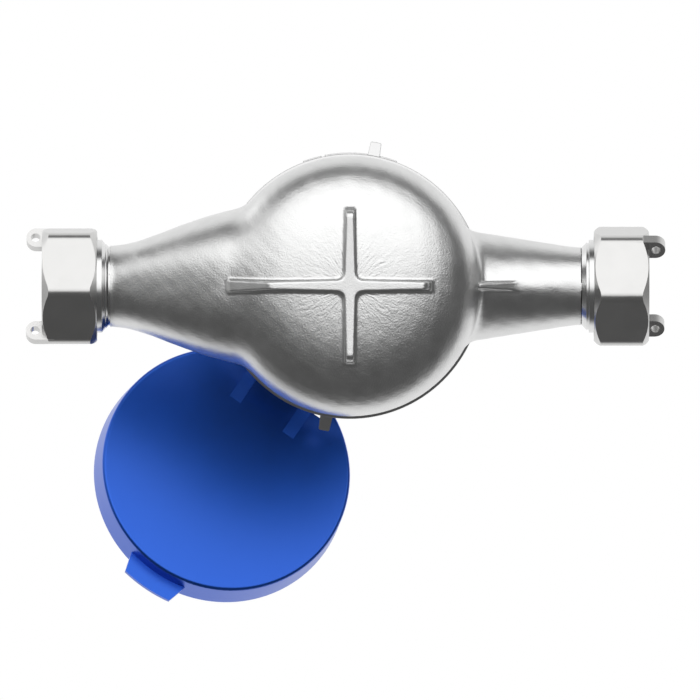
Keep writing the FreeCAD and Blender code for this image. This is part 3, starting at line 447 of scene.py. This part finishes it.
def studio_level(tree):
    """Light from each direction: a large softbox in front, two panels beside it, and a pale backdrop."""
    parts = tree.nodes.new("ShaderNodeSeparateXYZ")
    link(tree, tree.nodes.new("ShaderNodeTexCoord").outputs["Generated"], parts.inputs["Vector"])
    across = parts.outputs["X"]
    up = product(tree, parts.outputs["Y"], -1.0)
    front = product(tree, parts.outputs["Z"], -1.0)
    box, core = softbox_shares(tree, across, up, front)
    bright = maths(tree, "MULTIPLY_ADD", core, softbox_core - softbox_level, softbox_level - dark_level)
    level = maths(tree, "MULTIPLY_ADD", box, bright, dark_level)
    for strength, aside, height in ((left_panel_level, left_panel_across, left_panel_up),
                                    (upper_panel_level, upper_panel_across, upper_panel_up)):
        panel = product(tree, eased(tree, across, *aside), eased(tree, up, *height))
        level = maths(tree, "MULTIPLY_ADD", panel, strength, level)
    back = eased(tree, front, *backdrop_front)
    return maths(tree, "MULTIPLY_ADD", back, backdrop_level - dark_level, level)


def mixed(tree, share, first, second):
    """One shader where share is 0 and another where it is 1."""
    node = tree.nodes.new("ShaderNodeMixShader")
    link(tree, share, node.inputs["Fac"])
    link(tree, first, node.inputs[1])
    link(tree, second, node.inputs[2])
    return node.outputs["Shader"]


def studio_world():
    """Soft studio light, and plain white for the rays that the camera and the glass see."""
    world = bpy.data.worlds.new("studio")
    bpy.context.scene.world = world
    world.use_nodes = True
    tree = world.node_tree
    tree.nodes.clear()
    light = tree.nodes.new("ShaderNodeBackground")
    light.inputs["Color"].default_value = (1.0, 1.0, 1.0, 1.0)
    link(tree, studio_level(tree), light.inputs["Strength"])
    white = tree.nodes.new("ShaderNodeBackground")
    white.inputs["Color"].default_value = (1.0, 1.0, 1.0, 1.0)
    path = tree.nodes.new("ShaderNodeLightPath")
    seen = maths(tree, "MAXIMUM", path.outputs["Is Camera Ray"], path.outputs["Is Transmission Ray"])
    shown = mixed(tree, seen, light.outputs["Background"], white.outputs["Background"])
    out = tree.nodes.new("ShaderNodeOutputWorld")
    link(tree, shown, out.inputs["Surface"])


def glass_floor():
    """Pale floor under the foot. The photograph looks up through it, so only its upper side shows."""
    mesh = bpy.data.meshes.new("floor")
    corners = [(x * floor_half_width, y * floor_half_width, -floor_drop)
               for x, y in ((-1, -1), (1, -1), (1, 1), (-1, 1))]
    mesh.from_pydata(corners, [], [(0, 1, 2, 3)])
    floor = bpy.data.objects.new("floor", mesh)
    bpy.context.scene.collection.objects.link(floor)
    material, tree, shader, place = new_material("floor_pale")
    shader.inputs["Base Color"].default_value = (0.95, 0.95, 0.95, 1.0)
    shader.inputs["Roughness"].default_value = 0.9
    shader.inputs["Specular IOR Level"].default_value = 0.0
    clear = tree.nodes.new("ShaderNodeBsdfTransparent")
    side = tree.nodes.new("ShaderNodeNewGeometry").outputs["Backfacing"]
    path = tree.nodes.new("ShaderNodeLightPath")
    shown = product(tree, path.outputs["Is Camera Ray"], maths(tree, "SUBTRACT", 1.0, side))
    surface = mixed(tree, shown, clear.outputs["BSDF"], shader.outputs["BSDF"])
    link(tree, surface, tree.nodes["Material Output"].inputs["Surface"])
    mesh.materials.append(material)


def photo_camera():
    """Distant camera under the meter that looks straight up, with the picture's top towards -Y."""
    camera = bpy.data.cameras.new("photo_camera")
    camera.sensor_width = sensor_width
    camera.lens = sensor_width * view_distance / view_width
    camera.clip_start = 0.01
    camera.clip_end = 20.0
    stand = bpy.data.objects.new("photo_camera", camera)
    stand.location = (0.0, view_centre_y, view_height - view_distance)
    stand.rotation_euler = (math.pi, 0.0, 0.0)
    bpy.context.scene.collection.objects.link(stand)
    bpy.context.scene.camera = stand


# Casting skin, worked out in millimetres

def spline(knots, values, at, ends=(None, None)):
    """Cubic spline through values at knots; an end slope of None leaves that end straight."""
    knots, values = np.asarray(knots, float), np.asarray(values, float)
    gaps, count = np.diff(knots), len(knots)
    slopes = np.diff(values) / gaps
    system, right = np.eye(count), np.zeros(count)
    for i in range(1, count - 1):
        system[i, i - 1:i + 2] = gaps[i - 1], 2 * (gaps[i - 1] + gaps[i]), gaps[i]
        right[i] = 6 * (slopes[i] - slopes[i - 1])
    if ends[0] is not None:
        system[0, :2] = 2 * gaps[0], gaps[0]
        right[0] = 6 * (slopes[0] - ends[0])
    if ends[1] is not None:
        system[-1, -2:] = gaps[-1], 2 * gaps[-1]
        right[-1] = 6 * (ends[1] - slopes[-1])
    bends = np.linalg.solve(system, right)
    place = np.clip(np.searchsorted(knots, at) - 1, 0, count - 2)
    gap, left, rest = gaps[place], at - knots[place], knots[place + 1] - at
    low, high = bends[place], bends[place + 1]
    curve = (low * rest ** 3 + high * left ** 3) / (6 * gap)
    return (curve + (values[place] / gap - low * gap / 6) * rest
            + (values[place + 1] / gap - high * gap / 6) * left)


def soft_union(first, second, blend):
    """Union of two distance fields with a fillet where they meet."""
    near = np.maximum(blend - np.abs(first - second), 0.0) / blend
    return np.minimum(first, second) - near * near * blend / 4


def soft_cut(first, second, blend):
    """Overlap of two distance fields with a rounded edge."""
    return -soft_union(-first, -second, blend)


def bowl_table():
    """Distances from the bowl's section on a grid of radius and height."""
    height = bowl_equator - bowl_floor
    points = [(0.0, bowl_floor)]
    points += [(share * bowl_radius, bowl_floor + rise * height) for share, rise in bowl_curve]
    points = np.array(points + [(bowl_radius, bowl_equator)])
    run = np.concatenate([[0.0], np.cumsum(np.hypot(*np.diff(points, axis=0).T))])
    at = np.linspace(0.0, run[-1], section_steps)
    radii = spline(run, points[:, 0], at, (1.0, 0.0))
    heights = spline(run, points[:, 1], at, (0.0, 1.0))
    wall = np.arange(bowl_equator, table_top, wall_step)
    section_r = np.concatenate([radii, np.full(len(wall), bowl_radius)])
    section_z = np.concatenate([heights, wall])
    grid_r = np.arange(0.0, table_radius, table_step)
    grid_z = np.arange(table_bottom, table_top, table_step)
    table = np.zeros((len(grid_r), len(grid_z)))
    for i, radius in enumerate(grid_r):
        gap = np.hypot(radius - section_r[None, :], grid_z[:, None] - section_z[None, :]).min(1)
        floor = np.interp(radius, radii, heights)
        inside = (radius < bowl_radius) & (grid_z > floor)
        table[i] = np.where(inside, -gap, gap)
    return table


def looked_up(table, r, z):
    """Value of the table between its grid points."""
    a = np.clip(r / table_step, 0, table.shape[0] - 1.001)
    b = np.clip((z - table_bottom) / table_step, 0, table.shape[1] - 1.001)
    i, j = a.astype(int), b.astype(int)
    s, t = a - i, b - j
    return ((1 - s) * (1 - t) * table[i, j] + s * (1 - t) * table[i + 1, j]
            + (1 - s) * t * table[i, j + 1] + s * t * table[i + 1, j + 1])


def rounded_norm(y, z, wide, tall, power):
    """Size of a point against a rounded section, and how fast it grows there."""
    a, b = np.abs(y) / wide + 1e-6, np.abs(z) / tall + 1e-6
    share = (a ** power + b ** power) ** (1 / power)
    steep = share ** (1 - power) * np.hypot(a ** (power - 1) / wide, b ** (power - 1) / tall)
    return share, steep


def cone_field(x, y, z):
    """Inlet passage: sections a little flatter-sided than ellipses, along the pipe."""
    reach = np.clip(-x, inlet_sections[-1][0], inlet_sections[0][0])
    stations = np.array(inlet_sections)[::-1]
    wide = spline(stations[:, 0], stations[:, 1], reach)
    tall = spline(stations[:, 0], (stations[:, 2] + stations[:, 3]) / 2, reach)
    middle = pipe_height + spline(stations[:, 0], (stations[:, 3] - stations[:, 2]) / 2, reach)
    high = z - middle
    flat = 2 + (cone_flatness - 2) * np.clip((inlet_sections[0][0] - reach) / cone_flatness_run, 0.0, 1.0)
    share, steep = rounded_norm(y, high, wide, tall, flat)
    return np.maximum((share - 1) / steep, x + inlet_sections[-1][0])


def spud_field(x, y, z, reach, neck):
    """Neck and collar on the pipe axis; x counts outwards."""
    radius = np.hypot(y, z - pipe_height)
    taper_start = reach - collar_length - collar_taper
    rise = collar_radius - neck
    taper = ((radius - neck) * collar_taper - (x - taper_start) * rise) / math.hypot(rise, collar_taper)
    collar = soft_cut(radius - collar_radius, taper, collar_edge)
    return soft_union(radius - neck, collar, neck_fillet)


def nozzle_field(x, y, z):
    """Outlet passage, narrower at its underside than a circle where it leaves the bowl."""
    root, end = bowl_radius - nozzle_root_depth, outlet_reach - collar_length - collar_taper
    slope = (nozzle_root_radius - outlet_neck_radius) / (end - root)
    size = nozzle_root_radius - slope * (np.clip(x, root, end) - root)
    under = np.clip((pipe_height + nozzle_pinch_band - z) / (2 * nozzle_pinch_band), 0.0, 1.0)
    power = 2 - (2 - nozzle_pinch) * np.clip((end - x) / nozzle_pinch_length, 0.0, 1.0) * under
    share, steep = rounded_norm(y, z - pipe_height, size, size, power)
    return np.maximum((share - 1) / steep * math.cos(math.atan(slope)), root - x)


def bar_field(x, y, z, reach_low, reach_high, slope_low, slope_high):
    """One bar of the cross foot, narrower at its ends and drafted on every side."""
    share = np.clip(np.where(x < 0, -x / reach_low, x / reach_high), 0.0, 1.0)
    half = rib_half_width_middle + share * (rib_half_width_end - rib_half_width_middle)
    bar = np.abs(y) - half - rib_draft * (1 + share) * z / rib_height
    rounding = rib_end_round * np.clip(1 - z / rib_end_round_height, 0.0, 1.0) ** 2
    for along, reach, slope in ((-x, reach_low, slope_low), (x, reach_high, slope_high)):
        nose = rounding if slope < rib_inlet_slope else 0.0
        end = (along - reach + nose - slope * z / rib_height) / math.hypot(1.0, slope / rib_height)
        bar = soft_cut(bar, end, rib_edge)
    return bar


def inlet_end_field(x, y):
    """Rounded far end of the long inlet bar, seen from below."""
    radius = rib_inlet_end_radius
    beyond = np.maximum(-x - (rib_inlet_end - radius), 0.0)
    aside = np.maximum(np.abs(y) - (rib_inlet_end_half_width - radius), 0.0)
    return np.where(x < 0, np.hypot(beyond, aside) - radius, -radius)


def gusset_field(x, y, z):
    """Thin fin between the bowl and the underside of the nozzle."""
    low = pipe_height - outlet_neck_radius - gusset_sink - gusset_height
    slope = (gusset_reach + gusset_slope - bowl_radius) / gusset_height
    half = gusset_half_width * (1 + np.clip((z - low) / gusset_height, 0.0, 1.2))
    edge = ((x - bowl_radius) - slope * (z - low)) / math.hypot(1.0, slope)
    fin = soft_cut(np.abs(y) - half, edge, gusset_edge)
    fin = np.maximum(np.maximum(fin, low - z), z - pipe_height)
    return np.maximum(fin, bowl_radius - gusset_root_depth - x)


def cast_waves(x, y, z):
    """Slow unevenness of the cast skin, from waves between 6 and 20 mm long that cross at odd angles."""
    first = np.sin(0.47 * x + 1.7 * np.sin(0.31 * y)) * np.sin(0.53 * y + 1.3 * np.sin(0.37 * z))
    second = np.sin(0.91 * x - 0.63 * y) * np.sin(0.83 * z + 0.71 * y)
    return first + second


def casting_field(x, y, z, table):
    """Distance outside the casting, in millimetres."""
    bowl = looked_up(table, np.hypot(x, y), z)
    skin = soft_union(bowl, cone_field(x, y, z), cone_fillet)
    skin = soft_union(skin, nozzle_field(x, y, z), nozzle_fillet)
    inlet = spud_field(-x, y, z, inlet_reach, inlet_neck_radius)
    outlet = spud_field(x, y, z, outlet_reach, outlet_neck_radius)
    ends = np.where(x < 0, np.maximum(inlet, x + bowl_radius), np.maximum(outlet, bowl_radius - x))
    skin = soft_union(skin, ends, neck_fillet)
    long_bar = bar_field(x, y, z, rib_reach_inlet, rib_reach_outlet, rib_inlet_slope, rib_outlet_slope)
    long_bar = soft_cut(long_bar, inlet_end_field(x, y), rib_edge)
    short_bar = bar_field(y, x, z, rib_reach_side, rib_reach_side, rib_end_slope, rib_end_slope)
    cross = soft_union(long_bar, short_bar, cross_fillet)
    skin = soft_union(skin, soft_cut(cross, -z, rib_edge), rib_fillet)
    skin = soft_union(skin, gusset_field(x, y, z), gusset_fillet)
    fade = np.clip((z - bowl_floor) / cast_waviness_fade, 0.0, 1.0)
    return skin + cast_waviness * cast_waves(x, y, z) * fade


def graded(low, high, step, fine_low, fine_high, fine_step):
    """Grid lines from low to high, closer together between fine_low and fine_high."""
    runs = ((low, fine_low, step), (fine_low, fine_high, fine_step), (fine_high, high, step))
    lines = []
    for start, end, size in runs:
        if end > start:
            lines.append(np.linspace(start, end, max(2, int(round((end - start) / size)) + 1))[:-1])
    return np.concatenate(lines + [[high]])


def crossings(values, lines, axis):
    """Where a field crosses zero along one axis: grid places, exact points, and which start inside."""
    low, high = [slice(None)] * 3, [slice(None)] * 3
    low[axis], high[axis] = slice(0, -1), slice(1, None)
    first, second = values[tuple(low)], values[tuple(high)]
    place = np.argwhere((first < 0) != (second < 0))
    spot = tuple(place.T)
    share = first[spot] / (first[spot] - second[spot])
    points = np.stack([lines[n][place[:, n]] for n in range(3)], 1)
    following = lines[axis][place[:, axis] + 1]
    points[:, axis] += share * (following - points[:, axis])
    return place, points, first[spot] < 0


def cells_beside(place, others, shift, cells):
    """The cells on one side of each crossing, and which of them are on the grid."""
    cell = place.copy()
    cell[:, others] += shift
    return cell, np.all((cell >= 0) & (cell < cells), axis=1)


def net_quads(found, index, cells):
    """One quad round each crossing, turned to face outwards."""
    quads = []
    for axis, others, place, starts_inside in found:
        corners = []
        for shift in ((0, 0), (-1, 0), (-1, -1), (0, -1)):
            cell, good = cells_beside(place, others, shift, cells)
            cell[~good] = 0
            corners.append(np.where(good, index[tuple(cell.T)], -1))
        quad = np.stack(corners, 1)
        flipped = starts_inside if axis == 1 else ~starts_inside
        quad[flipped] = quad[flipped][:, ::-1]
        quads.append(quad[np.all(quad >= 0, axis=1)])
    return np.concatenate(quads)


def surface_net(field, lines):
    """Quads on the zero surface of a field over a grid: one vertex in each cell that it crosses."""
    values = field(*np.meshgrid(*lines, indexing="ij"))
    cells = tuple(size - 1 for size in values.shape)
    sums, counts = np.zeros(cells + (3,)), np.zeros(cells)
    found = []
    for axis in range(3):
        others = [n for n in range(3) if n != axis]
        place, points, starts_inside = crossings(values, lines, axis)
        found.append((axis, others, place, starts_inside))
        for shift in ((0, 0), (0, -1), (-1, 0), (-1, -1)):
            cell, good = cells_beside(place, others, shift, cells)
            where = tuple(cell[good].T)
            np.add.at(sums, where, points[good])
            np.add.at(counts, where, 1.0)
    used = counts > 0
    index = np.full(cells, -1)
    index[used] = np.arange(used.sum())
    return sums[used] / counts[used][:, None], net_quads(found, index, cells)


def settled(field, points):
    """Points moved along the field's slope onto its zero surface."""
    for turn in range(settle_turns):
        value = field(*points.T)
        slope = np.stack([(field(*(points + shift).T) - field(*(points - shift).T)) / (2 * settle_step)
                          for shift in np.eye(3) * settle_step], 1)
        steep = np.maximum((slope ** 2).sum(1), settle_least_slope)
        points = points - (value / steep)[:, None] * slope
    return points


def mesh_piece(name, vertices, faces, finish, smooth=True):
    """Object from points in millimetres."""
    mesh = bpy.data.meshes.new(name)
    mesh.from_pydata((np.asarray(vertices) * mm).tolist(), [], np.asarray(faces).tolist())
    mesh.materials.append(finish)
    if smooth:
        mesh.shade_smooth()
    piece = bpy.data.objects.new(name, mesh)
    bpy.context.scene.collection.objects.link(piece)
    return piece


def round_pipe(x, radius, turn):
    """Points at a radius and a turn about the pipe's axis."""
    y, z = radius * np.cos(turn), pipe_height + radius * np.sin(turn)
    return np.stack([x, y, z], 2).reshape(-1, 3)


def ring_quads(rows, steps, side):
    """Quads between rings of points that follow each other along the pipe."""
    row, step = np.meshgrid(np.arange(rows), np.arange(steps), indexing="ij")
    following = (step + 1) % steps
    quads = np.stack([row * steps + step, row * steps + following,
                      (row + 1) * steps + following, (row + 1) * steps + step], 2).reshape(-1, 4)
    return quads if side < 0 else quads[:, ::-1]


def spiral_thread(side, reach):
    """Points and quads of a screw thread from the spud's end face to its run-out."""
    length = thread_length + thread_runout
    rows = int(length / thread_pitch * thread_pitch_steps)
    along = np.linspace(0.0, length, rows + 1)
    angle = np.linspace(0.0, 2 * math.pi, thread_turn_steps, endpoint=False)
    depth_at, turn_at = np.meshgrid(along, angle, indexing="ij")
    phase = (depth_at / thread_pitch + side * turn_at / (2 * math.pi)) % 1.0
    flank = np.clip((np.abs(phase - 0.5) * 2 - thread_flat) / (1 - 2 * thread_flat), 0.0, 1.0)
    groove = thread_depth * (0.5 + 0.5 * np.cos(math.pi * flank))
    start = np.clip((depth_at - thread_lead_start) / thread_lead, 0.0, 1.0)
    end = np.clip((length - depth_at) / thread_fade, 0.0, 1.0)
    radius = thread_radius - groove * start * end
    radius = np.minimum(radius, thread_radius - thread_chamfer + depth_at)
    taper = np.clip((depth_at - thread_length) / thread_runout, 0.0, 1.0)
    radius = np.minimum(radius, thread_radius - taper * (thread_radius - collar_radius))
    return round_pipe(side * (reach - depth_at), radius, turn_at), ring_quads(rows, thread_turn_steps, side)


def with_round_corners(outline, radius):
    """Outline with a small arc at each corner between its ends."""
    points = [np.array(point, float) for point in outline]
    result = [points[0]]
    for before, corner, after in zip(points, points[1:], points[2:]):
        start = corner + (before - corner) / np.linalg.norm(before - corner) * radius
        end = corner + (after - corner) / np.linalg.norm(after - corner) * radius
        for share in np.linspace(0.0, 1.0, collar_corner_steps):
            result.append((1 - share) ** 2 * start + 2 * share * (1 - share) * corner + share ** 2 * end)
    return np.array(result + [points[-1]])


def turned_collar(side, reach, neck, first_taper, rise, step, foot_start):
    """Points and quads of the machined collar: a band, two tapers and two narrow lands."""
    band_end = reach - collar_length
    middle = neck + rise
    neck_start = band_end - collar_taper
    foot = neck + collar_corner
    outline = [
        (reach - thread_length - thread_runout, collar_radius),
        (band_end, collar_radius),
        (band_end - first_taper, middle),
        (band_end - first_taper - step, middle),
        (neck_start - foot_start, foot),
        (neck_start - collar_foot_end, foot),
        (neck_start - collar_foot_end, neck - collar_overlap),
    ]
    section = with_round_corners(outline, collar_corner)
    angle = np.linspace(0.0, 2 * math.pi, collar_turn_steps, endpoint=False)
    radius, turn = np.meshgrid(section[:, 1], angle, indexing="ij")
    x = side * np.repeat(section[:, :1], collar_turn_steps, axis=1)
    return round_pipe(x, radius, turn), ring_quads(len(section) - 1, collar_turn_steps, side)


def casting_skin(field, finish):
    """Cast skin with soft fillets, between the two turned collars."""
    band = (-skin_rib_band, skin_rib_band, skin_fine_step)
    left = -(inlet_reach - collar_length - collar_taper)
    right = outlet_reach - collar_length - collar_taper
    side = bowl_radius + skin_side_room
    lines = [
        graded(left, right, skin_step, *band),
        graded(-side, side, skin_step, *band),
        graded(skin_bottom, shoulder_height, skin_step, skin_bottom, skin_foot_height, skin_fine_step),
    ]
    points, quads = surface_net(field, lines)
    return mesh_piece("casting_skin", settled(field, points), quads, finish)


def covered_faces(form, field):
    """Faces of the CAD casting that the skin, a collar or a thread takes over."""
    left = -(inlet_reach - thread_length - thread_runout)
    right = outlet_reach - thread_length - thread_runout
    x, y, z = (np.array([vertex.co for vertex in form.verts]) / mm).T
    between = (x > left - skin_margin) & (x < right + skin_margin)
    outer = between & (z < shoulder_height + skin_margin) & (np.abs(field(x, y, z)) < skin_reach)
    beyond = (x < left + skin_margin) | (x > right - skin_margin)
    threaded = beyond & (np.hypot(y, z - pipe_height) > collar_radius - skin_margin)
    x, y, z = (np.array([face.calc_center_median() for face in form.faces]) / mm).T
    below = (x > left) & (x < right) & (z < shoulder_height - skin_margin)
    proud = below & (field(x, y, z) > -skin_cover)
    return [face for face in form.faces
            if proud[face.index]
            or all(outer[vertex.index] for vertex in face.verts)
            or all(threaded[vertex.index] for vertex in face.verts)]


def casting_core(node, field, finish):
    """The cavities, bores and machined faces of the CAD casting."""
    core = bpy.data.objects.new("casting_core", node.data.copy())
    bpy.context.scene.collection.objects.link(core)
    core.data.materials.clear()
    core.data.materials.append(finish)
    form = bmesh.new()
    form.from_mesh(core.data)
    form.faces.ensure_lookup_table()
    bmesh.ops.delete(form, geom=covered_faces(form, field), context="FACES")
    form.to_mesh(core.data)
    form.free()
    return core


def turned_end(name, side, reach, neck, collar, finish):
    """Thread and collar of one spud."""
    points, quads = spiral_thread(side, reach)
    thread = mesh_piece(name + "_thread", points, quads, finish)
    points, quads = turned_collar(side, reach, neck, *collar)
    return [thread, mesh_piece(name + "_collar", points, quads, finish)]


def casting(node, finish, turned_finish):
    """The body: a cast skin and turned ends over what the skin doesn't cover of the CAD casting."""
    table = bowl_table()

    def field(x, y, z):
        return casting_field(x, y, z, table)

    inlet = (inlet_collar_first_taper, inlet_collar_rise, inlet_collar_step, inlet_collar_foot)
    outlet = (outlet_collar_first_taper, outlet_collar_rise, outlet_collar_step, outlet_collar_foot)
    pieces = [casting_skin(field, finish), casting_core(node, field, finish)]
    pieces += turned_end("inlet", -1, inlet_reach, inlet_neck_radius, inlet, turned_finish)
    pieces += turned_end("outlet", 1, outlet_reach, outlet_neck_radius, outlet, turned_finish)
    for piece in pieces:
        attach(piece, "meter_body")
        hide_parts("body_casting")


# Printed dial and wheels

def text_form(letters):
    """Flat mesh of a text in Blender's own plain face."""
    curve = bpy.data.curves.new("digit", "FONT")
    curve.body = letters
    curve.resolution_u = 4
    text = bpy.data.objects.new("digit", curve)
    bpy.context.scene.collection.objects.link(text)
    seen = text.evaluated_get(bpy.context.evaluated_depsgraph_get())
    form = bmesh.new()
    form.from_mesh(seen.to_mesh())
    seen.to_mesh_clear()
    bpy.data.objects.remove(text)
    bpy.data.curves.remove(curve)
    return form


def digit_outline(digit, height):
    """Points and triangles of a plain digit, cut across into strips so that it can bend round a drum."""
    form = text_form(str(digit))
    spots = np.array([vertex.co for vertex in form.verts])
    low, high = spots.min(0), spots.max(0)
    size = height / (high[1] - low[1])
    for vertex in form.verts:
        vertex.co = Vector((vertex.co - Vector((low + high) / 2)) * size)
    for place in np.linspace(-height / 2, height / 2, digit_strips + 1)[1:-1]:
        bmesh.ops.bisect_plane(form, geom=form.verts[:] + form.edges[:] + form.faces[:],
                               plane_co=(0.0, place, 0.0), plane_no=(0.0, 1.0, 0.0))
    bmesh.ops.triangulate(form, faces=form.faces)
    form.verts.index_update()
    points = np.array([vertex.co for vertex in form.verts])[:, :2]
    faces = np.array([[vertex.index for vertex in face.verts] for face in form.faces])
    form.free()
    return points, faces


def block(left, right, low, high):
    """Points and triangles of a flat rectangle."""
    points = np.array([(left, low), (right, low), (right, high), (left, high)])
    return points, np.array([(0, 1, 2), (0, 2, 3)])


def turned(points, degrees):
    """Points turned about the upright axis."""
    angle = math.radians(degrees)
    x, y = points[:, 0].copy(), points[:, 1].copy()
    points = points.copy()
    points[:, 0] = x * math.cos(angle) - y * math.sin(angle)
    points[:, 1] = x * math.sin(angle) + y * math.cos(angle)
    return points


def printed(name, parts, body, finish):
    """One thin printed piece from many small flat forms, turned with the register."""
    points, faces, count = [], [], 0
    for spots, corners in parts:
        points.append(spots)
        faces.append(corners + count)
        count += len(spots)
    points = turned(np.concatenate(points), register_turn)
    piece = mesh_piece(name, points, np.concatenate(faces), finish, smooth=False)
    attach(piece, body)


def on_dial(points, faces):
    """A flat form laid on the dial, as thick as its print."""
    return np.column_stack([points, np.full(len(points), dial_top + print_rise)]), faces


def scale_ticks():
    """Short ticks round the dial, with a longer and bolder one at each digit."""
    ticks = []
    for index in range(scale_count):
        major = index % (scale_count // 10) == 0
        half = (scale_long_line if major else scale_line) / 2
        length = scale_long if major else scale_short
        points, faces = block(-half, half, scale_radius, scale_radius + length)
        ticks.append(on_dial(turned(points, -360 * index / scale_count), faces))
    return ticks


def scale_digits():
    """Ten upright digits round the scale, counting anticlockwise."""
    digits = []
    for digit in range(10):
        points, faces = digit_outline(digit, scale_digit_height)
        angle = math.radians(digit_turn * digit)
        centre = np.array([-math.sin(angle), math.cos(angle)]) * scale_digit_radius
        digits.append(on_dial(points + centre, faces))
    return digits


def wheel_middle(index):
    """Place of a number wheel along their shared axle; the first is at the right."""
    return wheel_pitch * ((wheel_count - 1) / 2 - index)


def window_frames():
    """A thin line round the window of each number wheel."""
    lines = []
    half_width, half_height = window_width / 2, window_height / 2
    reach = half_width + window_line
    bottom, top = wheel_row - half_height, wheel_row + half_height
    for index in range(wheel_count):
        middle = wheel_middle(index)
        for side in (-1, 1):
            left, right = sorted((side * half_width, side * reach))
            low, high = sorted((side * half_height, side * (half_height + window_line)))
            upright = block(middle + left, middle + right, bottom, top)
            level = block(middle - reach, middle + reach, wheel_row + low, wheel_row + high)
            lines += [on_dial(*upright), on_dial(*level)]
    return lines


def wheel_print(index, finish):
    """Digits 0 to 9 round one number wheel. The zero shows in the window at rest."""
    middle = wheel_middle(index) + wheel_digit_shift
    radius = wheel_radius + print_rise
    digits = []
    for digit in range(10):
        points, faces = digit_outline(digit, wheel_digit_height)
        angle = points[:, 1] / radius - math.radians(digit_turn * digit)
        y, z = wheel_row + radius * np.sin(angle), wheel_axis_height + radius * np.cos(angle)
        digits.append((np.column_stack([middle + points[:, 0], y, z]), faces))
    name = "number_wheel_" + str(index + 1)
    printed(name + "_print", digits, name, finish)


# Scene

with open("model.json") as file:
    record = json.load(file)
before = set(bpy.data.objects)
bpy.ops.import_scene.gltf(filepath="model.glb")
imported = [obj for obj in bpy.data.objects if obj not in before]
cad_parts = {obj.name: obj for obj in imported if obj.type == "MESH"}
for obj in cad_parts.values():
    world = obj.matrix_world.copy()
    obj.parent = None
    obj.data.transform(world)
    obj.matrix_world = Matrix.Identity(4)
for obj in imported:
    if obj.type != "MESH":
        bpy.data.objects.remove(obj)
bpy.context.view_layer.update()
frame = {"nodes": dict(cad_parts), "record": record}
bpy.context.scene.view_settings.view_transform = "Standard"
photo_camera()
studio_world()
glass_floor()

finishes = {name: metal(name, *values) for name, values in metals.items()}
finishes.update({name: plastic(name, *values) for name, values in plastics.items()})
finishes["cast_stainless"] = cast_metal("cast_stainless", cast_grey)
finishes["clear_glass"] = clear_glass("clear_glass")

for part in frame["record"]["subparts"]:
    node = frame["nodes"][part["node"]]
    node.data.materials.clear()
    node.data.materials.append(finishes[part["material_slot"]])

casting(frame["nodes"]["body_casting"], finishes["cast_stainless"], finishes["turned_stainless"])
dial_parts = scale_ticks() + scale_digits() + window_frames()
printed("dial_print", dial_parts, "meter_body", finishes["black_plastic"])
for index in range(wheel_count):
    wheel_print(index, finishes["black_plastic"])
